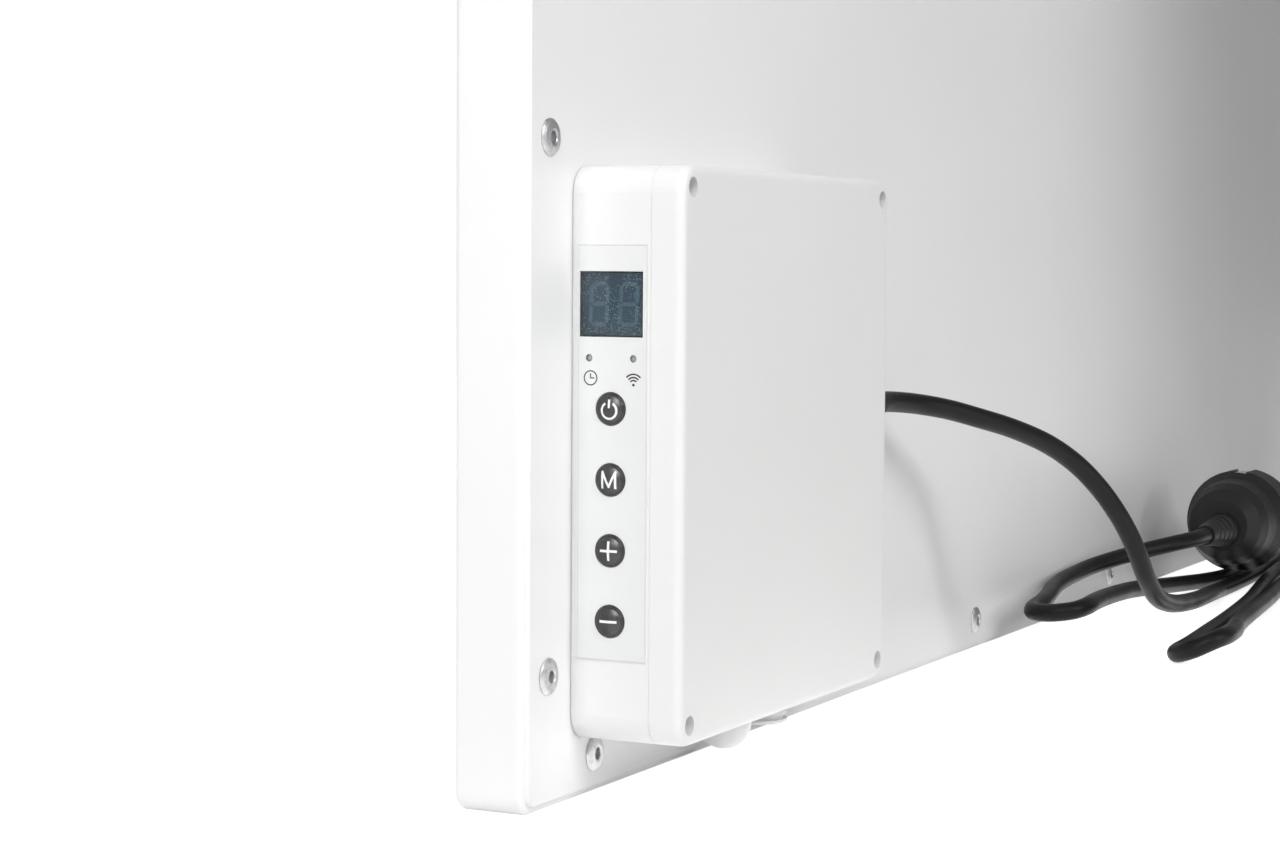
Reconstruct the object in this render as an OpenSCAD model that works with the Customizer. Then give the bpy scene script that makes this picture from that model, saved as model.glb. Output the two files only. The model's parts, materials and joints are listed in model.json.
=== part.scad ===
// Flat infrared heating panel, standing on its lower edge, with a control box on its rear plate.
// +X runs along the panel towards the keys of the control box, +Y points out of the rear plate, +Z is up.
// The origin is under the middle of the panel, on the surface that it stands on.

/* [Panel] */
// Width of the panel
panel_w = 1000; // [900:10:1200]
// Height of the panel
panel_h = 600; // [560:10:700]
// Depth of the tray, from the heating face to its rear flange
tray_d = 16.6; // [15.6:0.2:20]
// Thickness of the tray's sheet
sheet_t = 1.2; // [1:0.1:1.4]
// Width of the tray's rear flange
flange_w = 20; // [18:1:23]
// Corner radius of the tray
tray_corner_r = 4; // [3:0.5:6]
// Rounding along the edges of the tray
tray_edge_r = 1.5; // [1:0.1:2]
// Thickness of the rear plate
plate_t = 1.1; // [0.8:0.1:1.4]
// Distance from the tray's outer side to the edge of the rear plate
plate_inset = 1.8; // [1.2:0.1:2.4]
// Corner radius of the rear plate
plate_corner_r = 2.5; // [2:0.5:4]

/* [Rivets] */
// Distance from the tray's lower and upper sides to the long rows of rivets
long_row_edge = 9; // [8.6:0.1:9]
// Distance from the tray's left and right sides to the short rows of rivets
short_row_edge = 9.8; // [9:0.1:11]
// Diameter of the rivet shank
rivet_d = 4; // [3.2:0.1:4.8]
// Diameter of the rivet flange
rivet_flange_d = 8.1; // [7:0.1:9]
// Distance from the panel's side to the first rivet of a long row
long_row_start = 31.5; // [26:0.5:36]
// Pitch of the outer rivets of a long row
long_row_pitch = 127; // [110:1:135]
// Distance from the panel's lower or upper edge to the first rivet of a short row
short_row_start = 29; // [26:0.5:36]
// Pitch of the outer rivets of a short row
short_row_pitch = 115; // [100:1:125]

/* [Heating stack] */
// Distance from the tray's outer side to the heating film
film_inset = 26; // [25:1:32]
// Thickness of the heating film
film_t = 0.8; // [0.5:0.1:1.2]
// Width of a copper busbar
busbar_w = 8; // [6:0.5:12]
// Thickness of a copper busbar
busbar_t = 0.2; // [0.1:0.05:0.4]
// Distance from the tray's outer side to the insulation board
board_inset = 24; // [24:0.5:25]
// Thickness of the reflector foil
foil_t = 0.2; // [0.1:0.05:0.4]
// Free depth between the reflector foil and the rear plate, where the leads lie
lead_space = 3.2; // [3.2:0.1:4]
// Diameter of an insulated inner lead
lead_d = 2.2; // [1.8:0.1:2.3]

/* [Wall inserts] */
// Horizontal distance between the threaded wall inserts
insert_pitch_x = 660; // [500:10:700]
// Vertical distance between the threaded wall inserts
insert_pitch_z = 220; // [180:10:240]
// Height of the lower pair of wall inserts
insert_low_z = 300; // [280:10:310]
// Bore of a wall insert
insert_bore_d = 5; // [4:0.1:5.4]

/* [Control box] */
// Width of the control box
box_w = 120; // [116:1:130]
// Height of the control box
box_h = 125; // [123:1:135]
// Depth of the box's base shell
base_d = 19; // [19:0.2:22]
// Depth of the box's lid
lid_d = 7.6; // [7:0.2:10]
// Wall of the box
box_wall = 2; // [1.8:0.1:2.3]
// Corner radius of the box
box_corner_r = 6; // [5:0.5:7]
// Rounding along the edge of the lid
lid_edge_r = 2; // [1:0.25:2.5]
// Distance from the panel's side to the box
box_side_gap = 20; // [18:0.5:40]
// Height of the box above the panel's lower edge
box_lift = 13.5; // [13.5:0.5:30]
// Distance from the box's edges to a lid screw
lid_screw_inset = 4.8; // [4.6:0.1:5.4]
// Diameter of the recess of a lid screw
lid_recess_d = 4.4; // [4.3:0.1:4.6]

/* [Keys and display] */
// Width of the label film
label_w = 17.2; // [16.4:0.1:17.4]
// Length of the label film
label_l = 89.6; // [88:0.2:92]
// Thickness of the label film
label_t = 0.25; // [0.15:0.05:0.4]
// Distance from the rear plate to the middle of the label
label_mid = 9.7; // [9.6:0.1:9.9]
// Height of the lowest key above the box's lower face
first_key = 26.85; // [24:0.5:28]
// Pitch of the keys
key_pitch = 15.3; // [14.5:0.1:15.6]
// Diameter of a key
key_d = 7; // [6:0.2:7.6]
// How far a key stands out of the film
key_proud = 0.4; // [0.1:0.1:1]
// Travel of a key
key_travel = 0.5; // [0.3:0.1:0.5]
// Width of the display, across the label
display_w = 15; // [14:0.2:15.2]
// Height of the display
display_h = 14; // [13:0.2:15]
// Depth of the display module
display_d = 8; // [7:0.2:8]
// Height of the display's middle above the box's lower face
display_mid = 95.2; // [94:0.2:97]
// Distance between the two indicator lamps
lamp_gap = 10.6; // [9:0.2:11]
// Height of the indicator lamps above the box's lower face
lamp_height = 83.6; // [82.5:0.1:84]

/* [Sensor and entries] */
// Diameter of the sensor dome under the box
dome_d = 13; // [11:0.5:14]
// Length of the dome's straight wall
dome_straight = 3.9; // [3:0.1:5]
// Diameter of the head of the blanking plug
blank_d = 14; // [12:0.5:14.5]
// Length of the head of the blanking plug
blank_l = 7; // [5:0.5:8]
// Height of the cord's entry above the box's lower face
entry_height = 67.5; // [60:0.5:75]
// Distance from the rear plate to the middle of the cord's entry
entry_mid = 11.5; // [11.5:0.1:12]

/* [Mains cord] */
// Diameter of the mains cord
cord_d = 5.6; // [5.2:0.1:5.8]
// Length of the strain relief outside the box
relief_l = 32; // [24:1:40]
// Diameter of the plug
plug_d = 37; // [34:0.5:38]
// Length of the plug's body
plug_l = 36; // [32:1:38]

/* [Hidden] */
$fn = 32;

// Running clearance round a part that passes through a hole
play = 0.15;
// Gap that keeps two faces just apart
seat = 0.1;
// Overshoot of a cut past the face that it opens
past = 1;

// Planes across the depth of the object
whole_d = tray_d + plate_t + base_d + lid_d;
front_y = -whole_d / 2;
flange_y = front_y + tray_d;
plate_y = flange_y + plate_t;
film_y = front_y + sheet_t;
busbar_y = film_y + film_t;
board_y = busbar_y + busbar_t;
foil_y = flange_y - lead_space;
board_t = foil_y - foil_t - board_y;
lead_y = foil_y + lead_d / 2;

// Place of the control box: its middle across, and its lower face
box_x = panel_w / 2 - box_side_gap - box_w / 2;
box_z = box_lift;
lid_y = base_d + lid_d;

// Circuit boards in the box, in the box's own coordinates
pcb_t = 1.6;
standoff_h = 3;
power_board_y = box_wall + standoff_h;
board_top = power_board_y + pcb_t;
board_left = -(box_w / 2 - 12);
board_right = box_w / 2 - 20;
board_low = 10;
board_high = box_h - 10;
board_hole_inset = 4.5;
board_mid_z = (board_low + board_high) / 2;

// Control board behind the keys
film_face = box_w / 2;
wall_face = film_face - box_wall;
display_gap = 0.5;
control_front = wall_face - display_gap - display_d;
control_back = control_front - pcb_t;
control_mid = box_h / 2 + 0.65;
control_l = 98;
control_w = label_w - 2;
guide_w = 4.5;
guide_bite = 1.5;
switch_h = 3.5;
switch_w = 6;
plunger_d = 3.4;
plunger_out = 1.3;
plunger_in = 1.2;
key_collar_d = key_d + 1.6;
key_collar_t = 1.3;
key_stem_d = 3;
key_edge_r = 0.4;
key_hole_d = key_d + 2 * play;
plunger_tip = control_front + switch_h + plunger_out;
key_heights = [for (i = [0:3]) first_key + i * key_pitch];
lamp_d = 3;
lamp_window_d = 1.6;

// Fasteners
box_post_d = 7.4;
lid_screw_d = 2.2;
lid_screw_head_d = lid_recess_d - 0.3;
lid_screw_head_t = 1.6;
lid_screw_bite = 9;
recess_depth = 4.4;
base_screw_d = 3;
base_screw_head_d = 5.6;
base_screw_head_t = 1.7;
base_screw_tip = 1.9;
base_screw_dx = box_w / 2 - 16.5;
base_screw_dz = box_h / 2 - 30;
small_screw_d = 2;
small_screw_head_d = 4;
small_screw_head_t = 1.4;
clamp_screw_d = 2.6;
clamp_screw_head_d = 4.6;
tongue_t = 1;
tongue_d = 1.5;
// Shadow gap round the foot of the box, and rounding of the lid's rim at the seam
foot_gap = 0.4;
foot_gap_h = 0.35;
seam_r = 0.15;

// Lead hole through the rear plate and the box's floor
lead_hole_d = 13;
lead_bore_d = 9.4;
lead_hole_x = -20;
lead_hole_lip = 2;
lead_hole_lip_t = 0.8;
lead_spacing = 2.7;
riser_d = 4;

// Thermal cut-outs and the earth stud, on the reflector foil
cutout_l = 16;
cutout_w = 7.5;
cutout_x = panel_w / 4;
cutout_z = 120;
cutout_drop = 50;
earth_z = box_z + entry_height + 36;
riser_low_x = -panel_w / 3;

// Terminal block and cord clamp in the box
block_left = -(box_w / 2 - 16);
block_w = 10;
block_l = 31;
block_h = 10;
fuse_l = 20;
fuse_gap = 1.5;
fuse_mid_z = entry_height + block_l / 2 + fuse_gap + fuse_l / 2;
link_w = 12;
link_edge = 3.5;
link_low_z = board_mid_z - 28;
capacitor_d = 10;
capacitor_x = board_right - link_edge - 1.5 - capacitor_d / 2;
clamp_right = -(box_w / 2 - 9.5);
clamp_w = 5;
clamp_l = 20;
clamp_h = 4.2;
clamp_screw_dz = 6.8;
core_d = 2;
core_ring = 1.3;

// Sensor dome and blanking plug, under the middle of the base shell
entry_y = base_d / 2;
dome_wall = 1;
sensor_d = 4;
blank_x = -21;
blank_neck_d = 9;

// Strain relief
relief_collar_d = 13;
relief_neck_d = 9.6;
relief_tip_d = cord_d + 1.4;
relief_x = -box_w / 2;

// Cord route from the strain relief to the tie behind the panel; points chosen by hand
cord_r = cord_d / 2;
cord_route = [
    [328, 7.05, 81], [320, 7.05, 81], [309, 10.2, 80.1], [299.5, 16.2, 78.3], [290.7, 22.6, 75.6],
    [280.5, 28.8, 72.4], [268.6, 35, 67.7], [260, 40.4, 62], [255, 45.2, 55.8], [250.8, 49.2, 49],
    [246, 52.2, 41.6], [241.4, 54.2, 34], [234.6, 55, 26.6], [220.2, 54.4, 19.9], [188, 50.5, 14.6],
    [141, 44.2, 10], [92, 36.6, 6.2], [50, 29.6, 2.8]
];
cord_sides = 8;

// Hank behind the panel. The near lobe lies low behind it, the far lobe leans on the rear plate,
// and its upper strand runs back into the plug. Points of both lobes chosen by hand
near_lobe = [
    [-8, 35.4, 2.9], [30, 40.4, 2.9], [75, 46.8, 2.9], [126, 51.9, 2.9], [166, 54.9, 2.9],
    [188, 56.5, 2.9], [199, 57.1, 2.9], [210.4, 57.5, 2.9], [215.7, 59.6, 3.5], [218, 64.6, 5.4],
    [215.7, 69.8, 8], [210.4, 72, 8.9], [200, 71.4, 8.8], [187, 69, 7.8], [168, 65, 6.6],
    [134, 60, 5.4], [84, 54.2, 4.4], [38, 48.2, 3.5], [-5, 43.4, 3.1]
];
far_lobe = [
    [-10, 20.9, 2.9], [10, 21, 3], [30, 19.6, 3.6], [52, 17.9, 4.8], [76, 17, 6.4], [100, 17, 8.2],
    [123, 18, 9.9], [146, 19.6, 11.2], [166, 21.6, 12.2], [182, 23.4, 12.8], [192.8, 24, 12.6],
    [198.8, 21.6, 11.8], [201.2, 15.6, 11], [198.8, 9.6, 10.7], [192.8, 7.2, 10.9], [182, 6.2, 11.4],
    [170, 4.4, 12.1], [158, 2, 12.7], [146, 0, 13.2], [131, -0.8, 14], [114, 1.4, 15.8],
    [101, 6.6, 17.8], [91, 13.2, 19.8], [81, 20.4, 21.6], [72, 25, 22.6]
];
first_strand = [[44.4, 29.6, 2.8], [20, 29.3, 2.8], [-10, 28.4, 2.9]];
hank_tie_x = -45;
hank_tie_y = 30.4;
hank_right = -112;
hank_fold_r = 17;
hank_pitch = cord_d + 1.2;
tie_t = 1.1;
tie_w = 4;
tie_lift = tie_t + seat;

// Plug on the strands, its pins towards -X and its neck where the far lobe ends
plug_y = 26.6;
plug_z = cord_d + plug_d / 2 + 0.3;
plug_r = plug_d / 2;
plug_face_x = -1;
plug_neck_l = 24;
plug_tail_x = plug_face_x + plug_l + plug_neck_l;
plug_tail_z = 23;
pin_d = 4.8;
pin_l = 19;
pin_gap = 19;

module placed_in_box()
    translate([box_x, plate_y, box_z]) children();

// A round bar along +Y
module peg(d, h)
    rotate([-90, 0, 0]) cylinder(d = d, h = h);

// A round bar along +X
module rod(d, h)
    rotate([0, 90, 0]) cylinder(d = d, h = h);

// A block with its corner on the first point and its size after it
module block(at, size)
    translate(at) cube(size);

// A plate in the XZ plane with round corners, centred on X, from z = 0 up, thick along +Y
module rounded_plate(w, h, t, r) {
    translate([-w / 2 + r, 0, 0]) cube([w - 2 * r, t, h]);
    translate([-w / 2, 0, r]) cube([w, t, h - 2 * r]);
    for (x = [-w / 2 + r, w / 2 - r], z = [r, h - r])
        translate([x, 0, z]) peg(2 * r, t);
}

// Points of a quarter round of radius r about a centre, from angle a to angle b
function arc(centre, r, a, b, n = 5) =
    [for (i = [0:n]) centre + r * [cos(a + (b - a) * i / n), sin(a + (b - a) * i / n)]];

// A slab with round corners, with its edges rounded by low_r at y = 0 and by high_r at y = d
module soft_slab(w, h, d, r, low_r, high_r) {
    low = low_r > 0 ? arc([r - low_r, low_r], low_r, -90, 0) : [[r, 0]];
    high = high_r > 0 ? arc([r - high_r, d - high_r], high_r, 0, 90) : [[r, d]];
    hull()
        for (x = [-w / 2 + r, w / 2 - r], z = [r, h - r])
            translate([x, 0, z]) rotate([-90, 0, 0])
                rotate_extrude() polygon(concat([[0, 0]], low, high, [[0, d]]));
}

// Tube swept along points
function unit(v) = v / norm(v);
function mix(a, b, t) = a * (1 - t) + b * t;
function ease(t) = t * t * (3 - 2 * t);
function tangents(p) = [for (i = [0:len(p) - 1]) unit(p[min(i + 1, len(p) - 1)] - p[max(i - 1, 0)])];
function carried(n, t) = unit(n - (n * t) * t);
function normals(t, n, i = 0) =
    i == len(t) ? [] : let (m = carried(n, t[i])) concat([m], normals(t, m, i + 1));
function side_faces(rings, k) = [
    for (i = [0:rings - 2], j = [0:k - 1])
        let (a = i * k + j, b = i * k + (j + 1) % k)
        each [[a, a + k, b + k], [a, b + k, b]]
];
module tube(p, d, k) {
    t = tangents(p);
    n = normals(t, [0.31, 0.9, 0.3]);
    points = [
        for (i = [0:len(p) - 1], j = [0:k - 1])
            let (a = 360 * j / k)
            p[i] + d / 2 * (cos(a) * n[i] + sin(a) * cross(t[i], n[i]))
    ];
    last = (len(p) - 1) * k;
    start = [for (j = [1:k - 2]) [0, j, j + 1]];
    end = [for (j = [1:k - 2]) [last, last + j + 1, last + j]];
    polyhedron(points, concat(start, side_faces(len(p), k), end), convexity = 10);
}

// A path through corner points, each corner rounded over a length of the straight runs beside it
function rounded_path(p, l) = concat(
    [p[0]],
    [for (i = [1:len(p) - 2])
        let (a = p[i] + l * unit(p[i - 1] - p[i]), b = p[i] + l * unit(p[i + 1] - p[i]))
        each [for (k = [0:4]) mix(mix(a, p[i], k / 4), mix(p[i], b, k / 4), k / 4)]],
    [p[len(p) - 1]]
);

// A smooth curve through points, with n steps between two of them
function curve_point(a, b, c, d, t) =
    0.5 * (2 * b + (c - a) * t + (2 * a - 5 * b + 4 * c - d) * t * t + (3 * b - a - 3 * c + d) * t * t * t);
function curve(p, n) = concat(
    [for (i = [0:len(p) - 2], k = [0:n - 1])
        curve_point(p[max(i - 1, 0)], p[i], p[i + 1], p[min(i + 2, len(p) - 1)], k / n)],
    [p[len(p) - 1]]
);

// Places of the rivets: two outer pitches at each end of a row, and even steps between them
function half_row(length, start, pitch, outer, steps) = concat(
    [for (i = [0:outer - 1]) start + i * pitch],
    [for (i = [0:steps]) mix(start + outer * pitch, length - start - outer * pitch, i / steps)],
    [for (i = [outer - 1:-1:0]) length - start - i * pitch]
);
long_row = half_row(panel_w, long_row_start, long_row_pitch, 2, 3);
short_row = half_row(panel_h, short_row_start, short_row_pitch, 1, 3);
rivet_places = concat(
    [for (x = long_row, z = [long_row_edge, panel_h - long_row_edge]) [x - panel_w / 2, z]],
    [for (z = short_row, x = [short_row_edge, panel_w - short_row_edge]) [x - panel_w / 2, z]]
);
insert_places = [
    for (x = [-insert_pitch_x / 2, insert_pitch_x / 2], z = [insert_low_z, insert_low_z + insert_pitch_z])
        [x, z]
];
base_screw_places = [
    for (x = [-base_screw_dx, base_screw_dx], z = [-base_screw_dz, base_screw_dz]) [x, box_h / 2 + z]
];
lid_screw_places = [
    for (x = [-box_w / 2 + lid_screw_inset, box_w / 2 - lid_screw_inset],
         z = [lid_screw_inset, box_h - lid_screw_inset]) [x, z]
];
board_screw_places = [
    for (x = [board_left + board_hole_inset, board_right - board_hole_inset],
         z = [board_low + board_hole_inset, board_high - board_hole_inset]) [x, z]
];
module at_each(places, y)
    for (p = places) translate([p[0], y, p[1]]) children();

// Where the leads leave the panel, in the row's own coordinates
lead_x = box_x + lead_hole_x;
lead_z = box_z + entry_height;
earth_place = [lead_x, earth_z];
busbar_low_z = film_inset + busbar_w / 2 + 8;
busbar_high_z = panel_h - busbar_low_z;
riser_places = [[box_x + 20, busbar_high_z], [riser_low_x, busbar_low_z]];

module front_panel()
    color([0.95, 0.95, 0.95])
    difference() {
        translate([0, front_y, 0]) soft_slab(panel_w, panel_h, tray_d, tray_corner_r, tray_edge_r, 1);
        translate([0, film_y, sheet_t])
            rounded_plate(panel_w - 2 * sheet_t, panel_h - 2 * sheet_t, tray_d - 2 * sheet_t,
                          tray_corner_r - sheet_t);
        block([-panel_w / 2 + flange_w, flange_y - 2 * sheet_t, flange_w],
              [panel_w - 2 * flange_w, 3 * sheet_t, panel_h - 2 * flange_w]);
        at_each(rivet_places, flange_y - 2 * sheet_t) peg(rivet_d + play, 3 * sheet_t);
    }

module heater_film()
    color([0.16, 0.16, 0.17])
    block([-panel_w / 2 + film_inset, film_y, film_inset],
          [panel_w - 2 * film_inset, film_t, panel_h - 2 * film_inset]);

module busbars()
    color([0.8, 0.5, 0.3])
    for (z = [busbar_low_z, busbar_high_z])
        block([-panel_w / 2 + film_inset + busbar_w, busbar_y, z - busbar_w / 2],
              [panel_w - 2 * film_inset - 2 * busbar_w, busbar_t, busbar_w]);

// A sheet over the whole inside, with holes for the inserts and the lead risers
module pierced_sheet(y, t)
    difference() {
        block([-panel_w / 2 + board_inset, y, board_inset],
              [panel_w - 2 * board_inset, t, panel_h - 2 * board_inset]);
        at_each(insert_places, y - past) peg(insert_body_d + 2, t + 2 * past);
        at_each(riser_places, y - past) peg(riser_d, t + 2 * past);
    }

module insulation_board()
    color([0.9, 0.87, 0.75]) pierced_sheet(board_y, board_t);

module reflector_foil()
    color([0.8, 0.8, 0.82]) pierced_sheet(foil_y - foil_t, foil_t);

module back_plate()
    color([0.9, 0.9, 0.9])
    difference() {
        translate([0, flange_y, plate_inset])
            rounded_plate(panel_w - 2 * plate_inset, panel_h - 2 * plate_inset, plate_t, plate_corner_r);
        at_each(rivet_places, flange_y - past) peg(rivet_d + play, plate_t + 2 * past);
        at_each(insert_places, flange_y - past) peg(insert_body_d + play, plate_t + 2 * past);
        translate([lead_x, flange_y - past, lead_z]) peg(lead_hole_d + play, plate_t + 2 * past);
        placed_in_box() at_each(base_screw_places, -plate_t - past)
            peg(base_screw_d + play, plate_t + 2 * past);
    }

// A set blind rivet on the rear plate: domed flange, hollow middle and a bulb behind the flange
rivet_grip = plate_t + sheet_t;
rivet_dome = 1.15;
rivet_well_d = 2.7;
rivet_well = 1.6;
module blind_rivet() {
    r = rivet_flange_d / 2;
    well = rivet_well_d / 2;
    rotate([-90, 0, 0]) rotate_extrude() polygon([
        [0, -rivet_grip - 1.7], [rivet_d / 2 - 0.3, -rivet_grip - 1.7], [rivet_d / 2 + 0.45,
            -rivet_grip - 1],
        [rivet_d / 2 + 0.45, -rivet_grip - 0.5], [rivet_d / 2 + 0.2, -rivet_grip], [rivet_d / 2,
            -rivet_grip],
        [rivet_d / 2, 0], [r, 0], [r, 0.3], [r - 0.25, 0.55], [r - 0.9, 0.86], [r - 1.7, 1.06],
        [well + 0.6, rivet_dome], [well + 0.2, rivet_dome - 0.05], [well, rivet_dome - 0.25],
        [well, rivet_dome - rivet_well], [well - 0.5, rivet_dome - rivet_well],
        [well - 0.8, rivet_dome - rivet_well + 0.5], [0, rivet_dome - rivet_well + 0.6]
    ]);
}
module plate_rivets()
    color([0.72, 0.73, 0.75]) at_each(rivet_places, plate_y) blind_rivet();

insert_body_d = insert_bore_d + 1.9;
insert_collar_d = insert_body_d + 4;
insert_collar_t = 1;
insert_l = 10;
module wall_inserts()
    color([0.75, 0.74, 0.7])
    at_each(insert_places, plate_y)
        difference() {
            union() {
                peg(insert_collar_d, insert_collar_t);
                translate([0, -insert_l, 0]) peg(insert_body_d, insert_l);
            }
            translate([0, -insert_l - past, 0]) peg(insert_bore_d, insert_l + insert_collar_t + 2 * past);
        }

module thermal_cutouts()
    color([0.2, 0.2, 0.22])
    for (x = [-cutout_x, cutout_x]) {
        block([x - cutout_l / 2 + 1, foil_y, cutout_z - cutout_w / 2], [cutout_l - 2, 3, cutout_w]);
        block([x - cutout_l / 2, foil_y, cutout_z - cutout_w / 2 + 1], [cutout_l, 2.4, cutout_w - 2]);
    }

// A lead that rises from the foil through the lead hole and turns into the terminal block
block_face = box_x + block_left + block_w;
block_lead_y = plate_y + entry_mid;
module inner_lead(p)
    tube(rounded_path(p, 3.4), lead_d, 6);
function riser_start(z) = [[block_face, block_lead_y, z], [lead_x, block_lead_y, z], [lead_x, lead_y, z]];

module heater_leads() {
    live_z = lead_z - lead_spacing;
    drop_x = cutout_x + cutout_drop;
    color([0.55, 0.3, 0.16]) {
        inner_lead(concat(riser_start(live_z), [
            [drop_x, lead_y, live_z], [drop_x, lead_y, cutout_z],
            [cutout_x + cutout_l / 2, lead_y, cutout_z]
        ]));
        inner_lead([
            [cutout_x - cutout_l / 2, lead_y, cutout_z], [0, lead_y, cutout_z],
            [-cutout_x + cutout_l / 2, lead_y, cutout_z]
        ]);
        inner_lead([
            [-cutout_x - cutout_l / 2, lead_y, cutout_z], [riser_low_x, lead_y, cutout_z],
            [riser_low_x, lead_y, busbar_low_z], [riser_low_x, board_y, busbar_low_z]
        ]);
    }
    color([0.2, 0.4, 0.75])
        inner_lead(concat(riser_start(lead_z), [
            [riser_places[0][0], lead_y, lead_z], [riser_places[0][0], lead_y, busbar_high_z],
            [riser_places[0][0], board_y, busbar_high_z]
        ]));
}

ring_d = 8;
ring_t = 0.8;
stud_d = 4;
module earth_lead()
    color([0.6, 0.7, 0.2]) {
        inner_lead(concat(riser_start(lead_z + lead_spacing), [[lead_x, lead_y, earth_z - ring_d / 2 - 3]]));
        difference() {
            union() {
                translate([lead_x, foil_y + 1, earth_z]) peg(ring_d, ring_t);
                block([lead_x - lead_d / 2, foil_y + 0.4, earth_z - ring_d / 2 - 3], [lead_d, 1.8, 3.4]);
            }
            translate([lead_x, foil_y, earth_z]) peg(stud_d + play, 3);
        }
    }

module earth_stud()
    color([0.78, 0.78, 0.78]) {
        translate([lead_x, foil_y + 0.3, earth_z]) peg(stud_d, lead_space - 0.3);
        translate([lead_x, foil_y + 1 + ring_t, earth_z]) peg(7, lead_space - 1 - ring_t);
    }

module lead_grommet()
    color([0.12, 0.12, 0.12])
    translate([lead_x, 0, lead_z])
        difference() {
            union() {
                translate([0, plate_y - plate_t - lead_hole_lip_t, 0])
                    peg(lead_hole_d + 2 * lead_hole_lip, lead_hole_lip_t);
                translate([0, plate_y - plate_t, 0]) peg(lead_hole_d, plate_t + box_wall);
                translate([0, plate_y + box_wall, 0]) peg(lead_hole_d + 2 * lead_hole_lip, lead_hole_lip_t);
            }
            translate([0, plate_y - plate_t - lead_hole_lip_t - past, 0])
                peg(lead_bore_d, plate_t + box_wall + 2 * lead_hole_lip_t + 2 * past);
        }

// Guides that hold the ends of the control board
module board_guide(z, up)
    difference() {
        block([control_back - 1.5, box_wall - 0.5, z - (up ? guide_bite : guide_w - guide_bite)],
              [pcb_t + 3, base_d - tongue_d - box_wall - 1, guide_w]);
        block([control_back - seat, box_wall + 0.1, z - (up ? guide_bite + past : 0)],
              [pcb_t + 2 * seat, base_d, guide_bite + past]);
    }

module base_outline() {
    box_outline(foot_gap, base_d);
    translate([0, foot_gap_h, 0]) box_outline(0, base_d - foot_gap_h);
}

module control_box_base()
    color([0.93, 0.93, 0.93])
    placed_in_box()
    difference() {
        union() {
            difference() {
                base_outline();
                translate([0, box_wall, box_wall])
                    rounded_plate(box_w - 2 * box_wall, box_h - 2 * box_wall, base_d,
                        box_corner_r - box_wall);
            }
            intersection() {
                base_outline();
                at_each(lid_screw_places, 0) peg(box_post_d, base_d);
            }
            at_each(board_screw_places, box_wall - 0.5) peg(6, standoff_h + 0.5);
            board_guide(control_mid - control_l / 2 - seat, false);
            board_guide(control_mid + control_l / 2 + seat, true);
            block([clamp_right - clamp_w, box_wall - 0.5, entry_height - clamp_l / 2],
                  [clamp_w, entry_mid - box_wall + 0.5 - seat, clamp_l]);
        }
        at_each(lid_screw_places, base_d - lid_screw_bite - past) peg(lid_screw_d + play,
            lid_screw_bite + 2 * past);
        at_each(board_screw_places, box_wall) peg(small_screw_d + play, standoff_h + past);
        at_each(base_screw_places, -past) peg(base_screw_d + play, box_wall + 2 * past);
        translate([lead_hole_x, -past, entry_height]) peg(lead_hole_d + play, box_wall + 2 * past);
        for (z = key_heights)
            translate([wall_face - past, label_mid, z]) rod(key_hole_d, box_wall + 2 * past);
        for (y = [-lamp_gap / 2, lamp_gap / 2])
            translate([wall_face - past, label_mid + y, lamp_height]) rod(lamp_d + 2 * play,
                box_wall + 2 * past);
        block([wall_face - past, label_mid - display_w / 2 + 0.3, display_mid - display_h / 2 + 0.3],
              [box_wall + 2 * past, display_w - 0.6, display_h - 0.6]);
        translate([relief_x - past, entry_mid, entry_height]) rod(relief_neck_d + 2 * play,
            box_wall + 2 * past);
        translate([clamp_right - clamp_w - past, entry_mid, entry_height]) rod(cord_d + seat,
            clamp_w + 2 * past);
        for (z = [-clamp_screw_dz, clamp_screw_dz])
            translate([clamp_right - clamp_w / 2, entry_mid - 7, entry_height + z])
                peg(clamp_screw_d + play, 7 + past);
        translate([0, entry_y, -past]) cylinder(d = sensor_d + 2 * play, h = box_wall + 2 * past);
        translate([blank_x, entry_y, -past]) cylinder(d = blank_neck_d + play, h = box_wall + 2 * past);
    }

// Ring that the lid sets inside the base shell
tongue_gap = box_wall + play;
lid_inside = tongue_gap + tongue_t;
module box_outline(inset, t)
    translate([0, 0, inset]) rounded_plate(box_w - 2 * inset, box_h - 2 * inset, t, box_corner_r - inset);

module control_box_lid()
    color([0.9, 0.9, 0.9])
    placed_in_box() translate([0, base_d, 0])
    difference() {
        union() {
            difference() {
                union() {
                    soft_slab(box_w, box_h, lid_d, box_corner_r, seam_r, lid_edge_r);
                    translate([0, -tongue_d, 0]) box_outline(tongue_gap, tongue_d + 1);
                }
                translate([0, -tongue_d - past, 0]) box_outline(lid_inside,
                    tongue_d + past + lid_d - box_wall);
                at_each(lid_screw_places, -tongue_d - past) peg(box_post_d + 4 * play, tongue_d + past);
            }
            intersection() {
                box_outline(seam_r, lid_d - 1);
                at_each(lid_screw_places, 0) peg(box_post_d, lid_d - 1);
            }
        }
        at_each(lid_screw_places, lid_d - recess_depth) peg(lid_recess_d, recess_depth + past);
        at_each(lid_screw_places, -past) peg(lid_screw_d + play, lid_d);
    }

// A screw along +Y with its head's seat at y = 0 and a cross recess in the head
module screw(d, l, head_d, head_t)
    difference() {
        union() {
            peg(head_d, head_t);
            translate([0, -l, 0]) peg(d, l + 0.1);
        }
        for (a = [0, 90])
            rotate([0, a, 0]) block([-head_d * 0.32, head_t * 0.45, -head_d * 0.08],
                                    [head_d * 0.64, head_t, head_d * 0.16]);
    }

module lid_screws()
    color([0.55, 0.55, 0.56])
    placed_in_box() at_each(lid_screw_places, lid_y - recess_depth)
        screw(lid_screw_d, lid_d - recess_depth + lid_screw_bite, lid_screw_head_d, lid_screw_head_t);

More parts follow.
